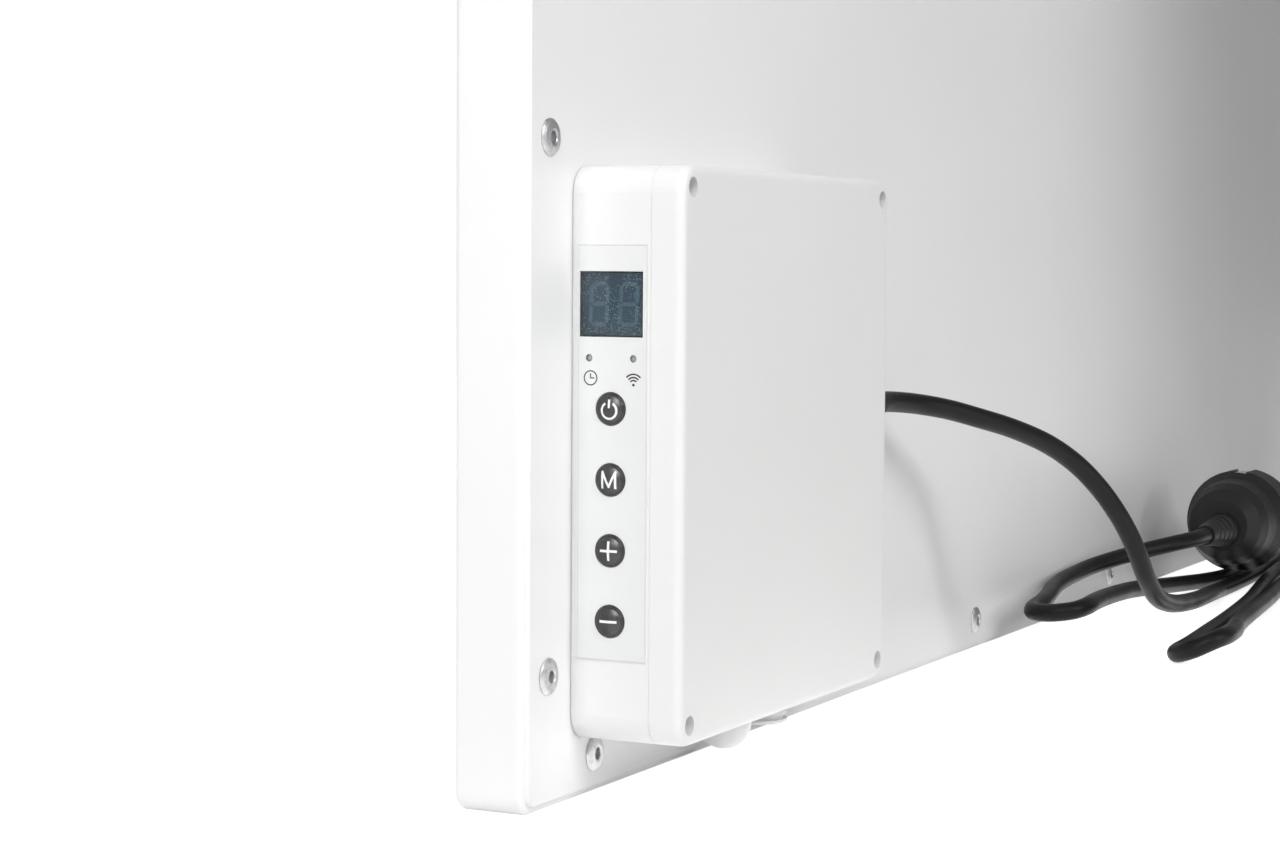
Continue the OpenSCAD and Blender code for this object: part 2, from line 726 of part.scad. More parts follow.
module base_screws()
    color([0.55, 0.55, 0.56])
    placed_in_box() at_each(base_screw_places, box_wall)
        screw(base_screw_d, box_wall + plate_t + base_screw_tip, base_screw_head_d, base_screw_head_t);

module label_film()
    color([0.88, 0.88, 0.87])
    placed_in_box()
    difference() {
        block([film_face, label_mid - label_w / 2, control_mid - label_l / 2], [label_t, label_w, label_l]);
        block([film_face - past, label_mid - display_w / 2 - 0.05, display_mid - display_h / 2 - 0.05],
              [label_t + 2 * past, display_w + 0.1, display_h + 0.1]);
        for (z = key_heights)
            translate([film_face - past, label_mid, z]) rod(key_hole_d, label_t + 2 * past);
        for (y = [-lamp_gap / 2, lamp_gap / 2])
            translate([film_face - past, label_mid + y, lamp_height]) rod(lamp_window_d, label_t + 2 * past);
    }

module display_window()
    color([0.12, 0.16, 0.2])
    placed_in_box()
    block([film_face, label_mid - display_w / 2, display_mid - display_h / 2], [label_t, display_w,
        display_h]);

module display_module()
    color([0.3, 0.36, 0.42])
    placed_in_box() {
        block([control_front, label_mid - display_w / 2, display_mid - display_h / 2],
              [display_d, display_w, display_h]);
        for (y = [-5:2.5:5], z = [-display_h / 2 + 2, display_h / 2 - 2])
            translate([control_back - 1.5, label_mid + y, display_mid + z]) rod(0.6, 1.5);
    }

module control_board()
    color([0.1, 0.35, 0.2])
    placed_in_box()
    block([control_back, label_mid - control_w / 2, control_mid - control_l / 2], [pcb_t, control_w,
        control_l]);

module indicator_lamps()
    color([0.6, 0.6, 0.6])
    placed_in_box()
    for (y = [-lamp_gap / 2, lamp_gap / 2])
        translate([control_front, label_mid + y, lamp_height]) {
            rod(lamp_d, film_face - control_front - lamp_d / 2);
            translate([film_face - control_front - lamp_d / 2, 0, 0])
                intersection() {
                    sphere(d = lamp_d);
                    translate([0, -lamp_d, -lamp_d]) cube(2 * lamp_d);
                }
        }

// A key: round cap with an eased edge, a collar behind the wall and a stem that meets the switch
module key(z)
    color([0.1, 0.1, 0.11])
    placed_in_box()
    translate([0, label_mid, z]) rotate([0, 90, 0]) rotate_extrude() {
        top = film_face + label_t + key_proud;
        collar = wall_face - seat;
        polygon(concat(
            [[0, plunger_tip], [key_stem_d / 2, plunger_tip], [key_stem_d / 2, collar - key_collar_t],
             [key_collar_d / 2, collar - key_collar_t], [key_collar_d / 2, collar], [key_d / 2, collar]],
            arc([key_d / 2 - key_edge_r, top - key_edge_r], key_edge_r, 0, 90), [[0, top]]));
    }
module minus_key() key(key_heights[0]);
module plus_key() key(key_heights[1]);
module mode_key() key(key_heights[2]);
module power_key() key(key_heights[3]);

module plunger(z)
    color([0.15, 0.15, 0.15])
    placed_in_box() translate([plunger_tip - plunger_out - plunger_in, label_mid, z])
        rod(plunger_d, plunger_out + plunger_in);
module minus_plunger() plunger(key_heights[0]);
module plus_plunger() plunger(key_heights[1]);
module mode_plunger() plunger(key_heights[2]);
module power_plunger() plunger(key_heights[3]);

module tact_switches()
    color([0.3, 0.3, 0.32])
    placed_in_box()
    for (z = key_heights)
        difference() {
            block([control_front, label_mid - switch_w / 2, z - switch_w / 2], [switch_h, switch_w,
                switch_w]);
            translate([control_front + switch_h - plunger_in - key_travel - 0.3, label_mid, z])
                rod(plunger_d + 2 * play, switch_h);
        }

module power_board()
    color([0.1, 0.4, 0.22])
    placed_in_box()
    difference() {
        block([board_left, power_board_y, board_low],
              [board_right - board_left, pcb_t, board_high - board_low]);
        at_each(board_screw_places, power_board_y - past) peg(small_screw_d + 2 * play, pcb_t + 2 * past);
        translate([lead_hole_x, power_board_y - past, entry_height]) peg(12, pcb_t + 2 * past);
    }

module board_screws()
    color([0.7, 0.7, 0.7])
    placed_in_box() at_each(board_screw_places, board_top)
        screw(small_screw_d, pcb_t + standoff_h - 0.4, small_screw_head_d, small_screw_head_t);

// Parts of the power board, each standing on it at a place across and up the board
module on_board(x, z)
    placed_in_box() translate([x, board_top, board_mid_z + z]) children();

module relay()
    color([0.15, 0.3, 0.6]) on_board(-8, -32) {
        block([-7.75, 0, -9.5], [15.5, 14.5, 19]);
        block([-7.25, 14.5, -9], [14.5, 0.5, 18]);
    }

module transformer()
    color([0.25, 0.23, 0.2]) on_board(12, 12) {
        block([-10, 0, -9], [20, 3, 18]);
        block([-8.5, 3, -8], [17, 12, 16]);
        block([-5, 4, -9.5], [10, 10, 19]);
    }

module line_capacitor()
    color([0.85, 0.7, 0.15]) on_board(16, -34)
        block([-4, 0, -9], [8, 14, 18]);

module smoothing_capacitor()
    color([0.15, 0.15, 0.3]) on_board(capacitor_x, -12)
        difference() {
            peg(capacitor_d, 15.5);
            translate([0, 1.2, 0]) difference() {
                peg(capacitor_d + past, 0.6);
                translate([0, -past, 0]) peg(capacitor_d - 0.8, 0.6 + 2 * past);
            }
        }

module fuse()
    color([0.8, 0.8, 0.75]) on_board(board_left + 14, fuse_mid_z - board_mid_z) {
        translate([0, 4.4, -fuse_l / 2]) cylinder(d = 4.6, h = fuse_l);
        for (z = [-fuse_l / 2, fuse_l / 2 - 5]) translate([0, 4.4, z]) cylinder(d = 5.2, h = 5);
        for (z = [-fuse_l / 2 + 1, fuse_l / 2 - 4]) block([-3.5, 0, z], [7, 3.6, 3]);
    }

module terminal_block()
    color([0.2, 0.45, 0.3])
    placed_in_box()
    difference() {
        block([block_left, board_top, entry_height - block_l / 2], [block_w, block_h, block_l]);
        for (i = [-2.5:1:2.5])
            translate([block_left + block_w / 2, board_top + block_h - 2,
                entry_height + 5 * i]) peg(3.4, 2 + past);
    }

module radio_module()
    color([0.1, 0.15, 0.3]) on_board(16, 40) {
        block([-9, 0, -10], [18, 1, 20]);
        block([-7.5, 1, -9], [15, 2.2, 13]);
    }

module buzzer()
    color([0.1, 0.1, 0.1]) on_board(-12, 40)
        difference() {
            peg(12, 8.5);
            translate([0, 5, 0]) peg(2, 5);
        }

module board_link()
    color([0.7, 0.7, 0.72])
    placed_in_box()
    translate([0, 0, link_low_z]) linear_extrude(link_w)
        polygon([
            [board_right - link_edge, board_top], [board_right - link_edge + 0.8, board_top],
            [board_right - link_edge + 0.8, board_top + 5],
            [control_back, board_top + 5], [control_back, board_top + 5.8], [board_right - link_edge,
                board_top + 5.8]
        ]);

module room_sensor()
    color([0.2, 0.2, 0.2])
    placed_in_box() translate([0, entry_y, 0]) {
        translate([0, 0, box_wall]) cylinder(d = 9, h = 1.6);
        translate([0, 0, -dome_straight]) cylinder(d = sensor_d, h = dome_straight + box_wall);
        translate([0, 0, -dome_straight]) sphere(d = sensor_d);
    }

module dome_form(d)
    union() {
        translate([0, 0, -dome_straight]) cylinder(d = d, h = dome_straight);
        intersection() {
            translate([0, 0, -dome_straight]) sphere(d = d);
            translate([-d, -d, -dome_straight - d]) cube([2 * d, 2 * d, d]);
        }
    }
module sensor_dome()
    color([0.85, 0.87, 0.88, 0.5])
    placed_in_box() translate([0, entry_y, 0])
        difference() {
            dome_form(dome_d);
            translate([0, 0, 0.01]) dome_form(dome_d - 2 * dome_wall);
        }

module blanking_plug()
    color([0.12, 0.12, 0.12])
    placed_in_box() translate([blank_x, entry_y, 0]) rotate_extrude() {
        r = blank_d / 2;
        neck = blank_neck_d / 2;
        rib = blank_l / 7;
        polygon(concat(
            [[0, -blank_l], [r - 1.2, -blank_l], [r - 0.4, -blank_l + 0.5]],
            [for (i = [1:2]) each [
                [r - 0.4, -blank_l + (2 * i - 1) * rib], [r - 1.4, -blank_l + (2 * i - 1) * rib],
                [r - 1.4, -blank_l + 2 * i * rib], [r - 0.4, -blank_l + 2 * i * rib]]],
            [[r, -blank_l + 5.4 * rib], [r, 0], [neck, 0], [neck, box_wall], [neck + 1, box_wall],
             [neck + 1, box_wall + 0.8], [neck - 0.8, box_wall + 2.2], [0, box_wall + 2.2]]));
    }

// Strain relief: collars on both faces of the wall and a ribbed tail that tapers towards the cord
module strain_relief()
    color([0.08, 0.08, 0.08])
    placed_in_box() translate([relief_x, entry_mid, entry_height]) rotate([0, -90, 0]) rotate_extrude() {
        bore = cord_d / 2 + 0.03;
        c = relief_collar_d / 2;
        neck = relief_neck_d / 2;
        tip = relief_tip_d / 2;
        step = (relief_l - 8) / 5;
        polygon(concat(
            [[bore, -box_wall - 1.7], [c - 0.5, -box_wall - 1.7], [c - 0.5, -box_wall], [neck, -box_wall],
             [neck, 0], [c, 0], [c, 1.6], [c - 0.5, 2.2], [neck, 2.6]],
            [for (i = [0:4])
                let (z = 4.5 + i * step, r = mix(neck, tip + 0.3, (i + 1) / 6))
                each [[r, z], [r - 0.7, z + 0.4], [r - 0.7, z + step * 0.35], [r - 0.1,
                    z + step * 0.35 + 0.4]]],
            [[tip, relief_l - 0.6], [tip - 0.5, relief_l], [bore, relief_l]]));
    }

module cord_inner_end()
    color([0.07, 0.07, 0.07])
    placed_in_box() translate([relief_x - relief_l, entry_mid, entry_height])
        rod(cord_d, relief_l + box_w / 2 + clamp_right + 1);

module cord_cores()
    color([0.3, 0.35, 0.6])
    placed_in_box() translate([clamp_right + 1, entry_mid, entry_height])
        for (a = [90, 210, 330])
            translate([0, core_ring * sin(a), core_ring * cos(a)]) rod(core_d, block_left - clamp_right - 1);

module cord_clamp()
    color([0.85, 0.85, 0.85])
    placed_in_box()
    difference() {
        block([clamp_right - clamp_w, entry_mid + seat, entry_height - clamp_l / 2],
              [clamp_w, clamp_h, clamp_l]);
        translate([clamp_right - clamp_w - past, entry_mid, entry_height]) rod(cord_d + seat,
            clamp_w + 2 * past);
        for (z = [-clamp_screw_dz, clamp_screw_dz])
            translate([clamp_right - clamp_w / 2, entry_mid,
                entry_height + z]) peg(clamp_screw_d + play, clamp_h + past);
    }

module clamp_screws()
    color([0.7, 0.7, 0.7])
    placed_in_box()
    for (z = [-clamp_screw_dz, clamp_screw_dz])
        translate([clamp_right - clamp_w / 2, entry_mid + seat + clamp_h, entry_height + z])
            screw(clamp_screw_d, clamp_h + 6.5, clamp_screw_head_d, 1.6);

// Four strands run side by side through the tie, counted from the rear plate outwards: the strand of
// the far lobe, the strand that comes from the control box, and the two strands of the near lobe
function tie_point(k, x) = [x, hank_tie_y + (k - 1.5) * hank_pitch, cord_r + tie_lift];
function right_end(k) = let (s = k < 2 ? -1 : 1, n = k == 1 || k == 2 ? 0 : 1)
    [hank_right, hank_tie_y + s * (hank_fold_r + n * hank_pitch), cord_r];
function right_run(k, n = 5) = [
    for (i = [0:n])
        let (a = tie_point(k, hank_tie_x - tie_w), b = right_end(k), t = ease(i / n))
        [mix(a[0], b[0], i / n), mix(a[1], b[1], t), mix(a[2], b[2], t)]
];
function turned(p) = [for (i = [len(p) - 1:-1:0]) p[i]];
// Half a turn at the right end, from strand a to strand b
function right_fold(a, b, n = 10) =
    let (p = right_end(a), q = right_end(b), m = (p + q) / 2, r = norm(q - p) / 2, s = sign(q[1] - p[1]))
    [for (i = [1:n - 1]) [m[0] - r * sin(180 * i / n), m[1] - s * r * cos(180 * i / n), m[2]]];
neck_end = [plug_tail_x, plug_y, plug_tail_z];
hank_path = concat(
    curve(concat([cord_route[len(cord_route) - 1]], first_strand,
                 [tie_point(1, hank_tie_x + 6), tie_point(1, hank_tie_x - tie_w)]), 2),
    [for (i = [1:5]) right_run(1)[i]], right_fold(1, 2), turned(right_run(2)),
    curve(concat([tie_point(2, hank_tie_x + 6)], near_lobe, [tie_point(3, hank_tie_x + 6)]), 2),
    right_run(3), right_fold(3, 0), turned(right_run(0)),
    curve(concat([tie_point(0, hank_tie_x + 6)], far_lobe,
                 [[plug_tail_x + cord_d, plug_y - 0.1, plug_tail_z], neck_end]), 2)
);
function apart(p, a, b) = let (t = min(1, max(0,
    (p - a) * (b - a) / ((b - a) * (b - a))))) norm(p - a - t * (b - a));
function least_gap(p) = min([
    for (i = [0:len(p) - 1], j = [0:len(p) - 2]) if (abs(i - j) > 4 && abs(i - j - 1) > 4) apart(p[i],
        p[j], p[j + 1])
]) - cord_d;
function path_length(p) =
    len(p) < 2 ? 0 : [for (i = [1:len(p) - 1]) norm(p[i] - p[i - 1])] * [for (i = [2:len(p)]) 1];

cord_path = curve(cord_route, 2);
echo("cord: free length, hank length, least gap", path_length(cord_path), path_length(hank_path),
    least_gap(hank_path));

module power_cord()
    color([0.06, 0.06, 0.06]) tube(cord_path, cord_d, cord_sides);

module cord_hank()
    color([0.06, 0.06, 0.06]) tube(hank_path, cord_d, cord_sides);

tie_in_w = 3 * hank_pitch + cord_d + 2 * seat;
tie_in_h = cord_d + 2 * seat;
module cable_tie()
    color([0.1, 0.1, 0.1])
    translate([hank_tie_x - tie_w / 2, hank_tie_y, 0]) {
        difference() {
            block([0, -tie_in_w / 2 - tie_t, 0], [tie_w, tie_in_w + 2 * tie_t, tie_in_h + 2 * tie_t]);
            block([-past, -tie_in_w / 2, tie_t], [tie_w + 2 * past, tie_in_w, tie_in_h]);
        }
        block([-0.7, 3, tie_in_h + 2 * tie_t], [tie_w + 1.4, 6, 3.4]);
        block([0.2, 9, tie_in_h + 2 * tie_t + 1], [tie_w - 0.4, 12, tie_t]);
    }

// Plug with its face at x = 0 and its neck towards +X
module at_plug()
    translate([plug_face_x, plug_y, plug_z]) children();
module plug_body()
    color([0.09, 0.09, 0.1])
    at_plug() difference() {
        union() {
            rotate([0, 90, 0]) rotate_extrude() polygon([
                [0, 0], [plug_r - 1, 0], [plug_r, 1], [plug_r, plug_l * 0.42], [plug_r - 2.6, plug_l * 0.55],
                [plug_r - 3.6, plug_l * 0.78], [plug_r - 5.5, plug_l * 0.9], [plug_r - 9.5, plug_l], [0,
                    plug_l]
            ]);
            translate([plug_l - 2, 0, plug_tail_z - plug_z]) rotate([0, 90, 0]) rotate_extrude() {
                tip = cord_r + 0.7;
                polygon(concat(
                    [[0, 0], [6.5, 0], [6, 4.5]],
                    [for (i = [0:3])
                        let (z = 6 + i * 4.6, r = mix(6, tip + 0.2, (i + 1) / 5))
                        each [[r, z], [r - 0.6, z + 0.4], [r - 0.6, z + 1.8], [r - 0.05, z + 2.2]]],
                    [[tip, plug_neck_l + 2], [0, plug_neck_l + 2]]));
            }
        }
        for (z = [-1, 1]) translate([-past, -3.3, z > 0 ? plug_r - 1.6 : -plug_r - past])
            cube([plug_l * 0.42 + 2 * past, 6.6, 1.6 + past]);
        translate([-past, 0, 10]) rod(5, 11 + past);
    }

module plug_contacts()
    color([0.8, 0.78, 0.72])
    at_plug() {
        for (y = [-pin_gap / 2, pin_gap / 2])
            translate([0, y, 0]) rotate([0, -90, 0]) rotate_extrude()
                polygon(concat([[0, 0], [pin_d / 2, 0]], arc([0, pin_l - pin_d / 2], pin_d / 2, 0, 90)));
        for (z = [plug_r - 1.6, -plug_r + 1]) translate([1, -2.4, z]) cube([plug_l * 0.4 - 1, 4.8, 0.6]);
    }

front_panel();
heater_film();
busbars();
insulation_board();
reflector_foil();
back_plate();
plate_rivets();
wall_inserts();
thermal_cutouts();
heater_leads();
earth_lead();
earth_stud();
lead_grommet();
control_box_base();
control_box_lid();
lid_screws();
base_screws();
label_film();
display_window();
display_module();
control_board();
indicator_lamps();
power_key();
mode_key();
plus_key();
minus_key();
power_plunger();
mode_plunger();
plus_plunger();
minus_plunger();
tact_switches();
power_board();
board_screws();
relay();
transformer();
line_capacitor();
smoothing_capacitor();
fuse();
terminal_block();
radio_module();
buzzer();
board_link();
room_sensor();
sensor_dome();
blanking_plug();
strain_relief();
cord_clamp();
clamp_screws();
cord_inner_end();
cord_cores();
power_cord();
cord_hank();
cable_tie();
plug_body();
plug_contacts();
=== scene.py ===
"""Looks of the flat infrared heating panel with its rear control box."""
import json
import math

import bpy  # noqa: E402
import bmesh  # noqa: E402
from mathutils import Matrix, Vector  # noqa: E402


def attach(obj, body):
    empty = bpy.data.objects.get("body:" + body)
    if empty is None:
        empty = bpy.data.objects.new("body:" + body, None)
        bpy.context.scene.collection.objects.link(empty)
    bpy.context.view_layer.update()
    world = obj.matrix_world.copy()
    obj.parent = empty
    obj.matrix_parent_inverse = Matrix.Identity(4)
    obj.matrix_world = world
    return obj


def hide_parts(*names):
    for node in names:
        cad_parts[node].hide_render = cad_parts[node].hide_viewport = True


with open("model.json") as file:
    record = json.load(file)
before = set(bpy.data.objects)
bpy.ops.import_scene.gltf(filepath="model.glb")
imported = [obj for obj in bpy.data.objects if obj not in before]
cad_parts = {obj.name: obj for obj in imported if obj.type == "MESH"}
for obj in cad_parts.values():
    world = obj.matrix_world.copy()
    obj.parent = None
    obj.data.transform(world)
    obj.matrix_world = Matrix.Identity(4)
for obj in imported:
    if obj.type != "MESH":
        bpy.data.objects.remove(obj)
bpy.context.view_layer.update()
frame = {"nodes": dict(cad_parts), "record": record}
nodes = frame["nodes"]
scene = bpy.context.scene
MM = 0.001
BODY = "heater"

# Camera: behind the panel, near its lower corner (metres, radians)

CAMERA_X, CAMERA_Y, CAMERA_Z = 0.989956, 0.265268, 0.117011
YAW, PITCH, ROLL = -1.11009276, 0.060228473, 0.006184003
LENS_MM, SENSOR_MM = 75.108, 36.0
NEAR_CLIP, FAR_CLIP = 0.01, 50.0

level = math.cos(PITCH)
forward = Vector((math.sin(YAW) * level, -math.cos(YAW) * level, -math.sin(PITCH)))
right = forward.cross(Vector((0, 0, 1))).normalized()
upward = right.cross(forward)
roll_cos, roll_sin = math.cos(ROLL), math.sin(ROLL)
right, upward = roll_cos * right + roll_sin * upward, -roll_sin * right + roll_cos * upward
lens = bpy.data.cameras.new("camera")
lens.lens = LENS_MM
lens.sensor_width = SENSOR_MM
lens.sensor_fit = "HORIZONTAL"
lens.clip_start, lens.clip_end = NEAR_CLIP, FAR_CLIP
camera = bpy.data.objects.new("camera", lens)
scene.collection.objects.link(camera)
camera.matrix_world = Matrix(
    (
        (right.x, upward.x, -forward.x, CAMERA_X),
        (right.y, upward.y, -forward.y, CAMERA_Y),
        (right.z, upward.z, -forward.z, CAMERA_Z),
        (0, 0, 0, 1),
    )
)
scene.camera = camera

# Cord: its route is the one in the part's source (mm)

CORD_D = 5.6
CORD_R = CORD_D / 2
# from the strain relief down to the floor behind the panel
ROUTE = [
    [328, 7.05, 81], [320, 7.05, 81], [309, 10.2, 80.1], [299.5, 16.2, 78.3], [290.7, 22.6, 75.6],
    [280.5, 28.8, 72.4], [268.6, 35, 67.7], [260, 40.4, 62], [255, 45.2, 55.8], [250.8, 49.2, 49],
    [246, 52.2, 41.6], [241.4, 54.2, 34], [234.6, 55, 26.6], [220.2, 54.4, 19.9], [188, 50.5, 14.6],
    [141, 44.2, 10], [92, 36.6, 6.2], [50, 29.6, 2.8],
]
# fold in view on the camera's side
NEAR_LOBE = [
    [-8, 35.4, 2.9], [30, 40.4, 2.9], [75, 46.8, 2.9], [126, 51.9, 2.9], [166, 54.9, 2.9],
    [188, 56.5, 2.9], [199, 57.1, 2.9], [210.4, 57.5, 2.9], [215.7, 59.6, 3.5], [218, 64.6, 5.4],
    [215.7, 69.8, 8], [210.4, 72, 8.9], [200, 71.4, 8.8], [187, 69, 7.8], [168, 65, 6.6],
    [134, 60, 5.4], [84, 54.2, 4.4], [38, 48.2, 3.5], [-5, 43.4, 3.1],
]
# fold in view against the plate, and from there up to the plug
FAR_LOBE = [
    [-10, 20.9, 2.9], [10, 21, 3], [30, 19.6, 3.6], [52, 17.9, 4.8], [76, 17, 6.4], [100, 17, 8.2],
    [123, 18, 9.9], [146, 19.6, 11.2], [166, 21.6, 12.2], [182, 23.4, 12.8], [192.8, 24, 12.6],
    [198.8, 21.6, 11.8], [201.2, 15.6, 11], [198.8, 9.6, 10.7], [192.8, 7.2, 10.9],
    [182, 6.2, 11.4], [170, 4.4, 12.1], [158, 2, 12.7], [146, 0, 13.2], [131, -0.8, 14],
    [114, 1.4, 15.8], [101, 6.6, 17.8], [91, 13.2, 19.8], [81, 20.4, 21.6], [72, 25, 22.6],
]
FIRST_STRAND = [[44.4, 29.6, 2.8], [20, 29.3, 2.8], [-10, 28.4, 2.9]]
PLUG_NECK = [59.0, 26.6, 23.0]
NECK_SHIFT = 0.1
# four strands pass through the tie side by side and fold twice beyond it
TIE_X, TIE_Y = -45.0, 30.4
TIE_W, TIE_LIFT, TIE_LEAD = 4.0, 1.2, 6
STRAND_PITCH = CORD_D + 1.2
FOLD_X, FOLD_R = -112.0, 17.0
CURVE_STEPS, RUN_STEPS, FOLD_STEPS = 7, 16, 28
RING_STEP, CORD_SIDES = 1.4, 16


def curve(points, steps=CURVE_STEPS):
    """Points of a smooth line through the given ones."""
    p = [Vector(q) for q in points]
    out = []
    for i in range(len(p) - 1):
        a, b, c, d = p[max(i - 1, 0)], p[i], p[i + 1], p[min(i + 2, len(p) - 1)]
        for k in range(steps):
            t = k / steps
            square, cube = 2 * a - 5 * b + 4 * c - d, 3 * b - a - 3 * c + d
            out.append(0.5 * (2 * b + (c - a) * t + square * t * t + cube * t**3))
    return out + [p[-1]]


def even(line, step):
    """The same line with its points an even distance apart."""
    out, left = [line[0]], step
    total = sum((b - a).length for a, b in zip(line, line[1:]))
    step = left = total / round(total / step)
    for a, b in zip(line, line[1:]):
        length = (b - a).length
        done = 0.0
        while length - done >= left:
            done += left
            out.append(a + (b - a) * (done / length))
            left = step
        left -= length - done
    if (line[-1] - out[-1]).length > 0.4 * step:
        out.append(line[-1])
    else:
        out[-1] = line[-1]
    return out


def tie_point(k, x):
    """Strand k of the four at the tie, at the given x."""
    return Vector((x, TIE_Y + (k - 1.5) * STRAND_PITCH, CORD_R + TIE_LIFT))


def fold_end(k):
    """Strand k where its fold beyond the tie begins."""
    side, outer = (-1 if k < 2 else 1), (0 if k in (1, 2) else 1)
    return Vector((FOLD_X, TIE_Y + side * (FOLD_R + outer * STRAND_PITCH), CORD_R))


def fold_run(k, n=RUN_STEPS):
    """Strand k from the tie to its fold."""
    a, b = tie_point(k, TIE_X - TIE_W), fold_end(k)
    out = []
    for i in range(n + 1):
        f = i / n
        e = f * f * (3 - 2 * f)
        out.append(Vector((a.x + (b.x - a.x) * f, a.y + (b.y - a.y) * e, a.z + (b.z - a.z) * e)))
    return out


def fold(a, b, n=FOLD_STEPS):
    """Half circle that joins strands a and b."""
    p, q = fold_end(a), fold_end(b)
    m, r, side = (p + q) / 2, (q - p).length / 2, (1 if q.y > p.y else -1)
    turns = [math.pi * i / n for i in range(1, n)]
    return [Vector((m.x - r * math.sin(t), m.y - side * r * math.cos(t), m.z)) for t in turns]


def cord_line():
    """The whole cord from the strain relief to the plug's neck, in metres."""
    lead_x, fold_side_x = TIE_X + TIE_LEAD, TIE_X - TIE_W
    before_neck = [PLUG_NECK[0] + CORD_D, PLUG_NECK[1] - NECK_SHIFT, PLUG_NECK[2]]
    route = curve(ROUTE)
    route += curve([ROUTE[-1], *FIRST_STRAND, tie_point(1, lead_x), tie_point(1, fold_side_x)])[1:]
    route += fold_run(1)[1:] + fold(1, 2) + fold_run(2)[::-1]
    route += curve([tie_point(2, lead_x), *NEAR_LOBE, tie_point(3, lead_x)])
    route += fold_run(3) + fold(3, 0) + fold_run(0)[::-1]
    route += curve([tie_point(0, lead_x), *FAR_LOBE, before_neck, PLUG_NECK])
    return [p * MM for p in even(route, RING_STEP)]


def tube(path, r, sides=CORD_SIDES):
    """Rings carried along the path without twist, closed at both ends."""
    verts, faces = [], []
    last = len(path) - 1
    across = (path[1] - path[0]).cross(Vector((0, 0, 1))).normalized()
    for i, p in enumerate(path):
        along = (path[min(i + 1, last)] - path[max(i - 1, 0)]).normalized()
        across = (across - along * across.dot(along)).normalized()
        up = along.cross(across)
        for k in range(sides):
            a = 2 * math.pi * k / sides
            verts.append(p + r * (math.cos(a) * across + math.sin(a) * up))
    for i in range(last):
        for k in range(sides):
            j = (k + 1) % sides
            faces.append((i * sides + k, i * sides + j, (i + 1) * sides + j, (i + 1) * sides + k))
    faces += [tuple(range(sides))[::-1], tuple(range(last * sides, (last + 1) * sides))]
    return verts, faces


cord_points = cord_line()
verts, faces = tube(cord_points, CORD_R * MM)
cord_data = bpy.data.meshes.new("mains_cord")
cord_data.from_pydata([tuple(v) for v in verts], [], faces)
cord_data.shade_smooth()
mains_cord = bpy.data.objects.new("mains_cord", cord_data)
scene.collection.objects.link(mains_cord)
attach(mains_cord, BODY)
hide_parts("power_cord", "cord_hank")

# Materials: procedural, in object coordinates (metres)


class Maker:
    """Node helper for one material."""

    def __init__(self, name):
        self.material = bpy.data.materials.new(name)
        self.material.use_nodes = True
        self.tree = self.material.node_tree
        self.shader = self.tree.nodes["Principled BSDF"]
        self.place = self.node("ShaderNodeTexCoord").outputs["Object"]

    def node(self, kind, **settings):
        made = self.tree.nodes.new(kind)
        for key, value in settings.items():
            setattr(made, key, value)
        return made

    def link(self, a, b):
        self.tree.links.new(a, b)

    def stretched(self, x, y, z):
        """Object coordinates with each axis scaled, for grain with a direction."""
        m = self.node("ShaderNodeMapping")
        m.inputs["Scale"].default_value = (x, y, z)
        self.link(self.place, m.inputs["Vector"])
        return m.outputs["Vector"]

    def noise(self, scale, detail=3.0, rough=0.55, vector=None, distortion=0.0):
        n = self.node("ShaderNodeTexNoise")
        n.inputs["Scale"].default_value = scale
        n.inputs["Detail"].default_value = detail
        n.inputs["Roughness"].default_value = rough
        n.inputs["Distortion"].default_value = distortion
        self.link(vector or self.place, n.inputs["Vector"])
        return n.outputs["Fac"]

    def cells(self, scale, feature="F1", vector=None):
        n = self.node("ShaderNodeTexVoronoi", feature=feature)
        n.inputs["Scale"].default_value = scale
        self.link(vector or self.place, n.inputs["Vector"])
        return n.outputs["Distance"]

    def ramp(self, value, *stops):
        """Colours or levels at the given positions, blended between them."""
        n = self.node("ShaderNodeValToRGB")
        elements = n.color_ramp.elements
        elements[0].position, elements[1].position = stops[0][0], stops[-1][0]
        for element, (where, colour) in zip(elements, stops):
            colour = (colour,) * 3 if isinstance(colour, (int, float)) else tuple(colour)
            element.position, element.color = where, (*colour, 1.0)
        self.link(value, n.inputs["Fac"])
        return n.outputs["Color"]

    def span(self, value, low, high, a=0.3, b=0.7):
        """The range a to b carried to low to high."""
        n = self.node("ShaderNodeMapRange")
        for key, v in (("From Min", a), ("From Max", b), ("To Min", low), ("To Max", high)):
            n.inputs[key].default_value = v
        self.link(value, n.inputs["Value"])
        return n.outputs["Result"]

    def product(self, a, b):
        n = self.node("ShaderNodeMix", data_type="RGBA", blend_type="MULTIPLY")
        n.inputs["Factor"].default_value = 1.0
        self.link(a, n.inputs["A"])
        self.link(b, n.inputs["B"])
        return n.outputs["Result"]

    def bump(self, height, depth, under=None):
        n = self.node("ShaderNodeBump")
        n.inputs["Strength"].default_value = 1.0
        n.inputs["Distance"].default_value = depth
        self.link(height, n.inputs["Height"])
        if under is not None:
            self.link(under, n.inputs["Normal"])
        return n.outputs["Normal"]

    def put(self, **values):
        """Plain values go on the shader's own sockets, node outputs are linked to them."""
        for key, value in values.items():
            socket = self.shader.inputs[key.replace("_", " ")]
            if isinstance(value, bpy.types.NodeSocket):
                self.link(value, socket)
            elif isinstance(value, tuple):
                socket.default_value = (*value, 1.0)
            else:
                socket.default_value = value
        return self.material


def shades(colour, change):
    """The colour a little darker and a little lighter."""
    return [tuple(min(1.0, v * k) for v in colour) for k in (1 - change, 1 + change)]


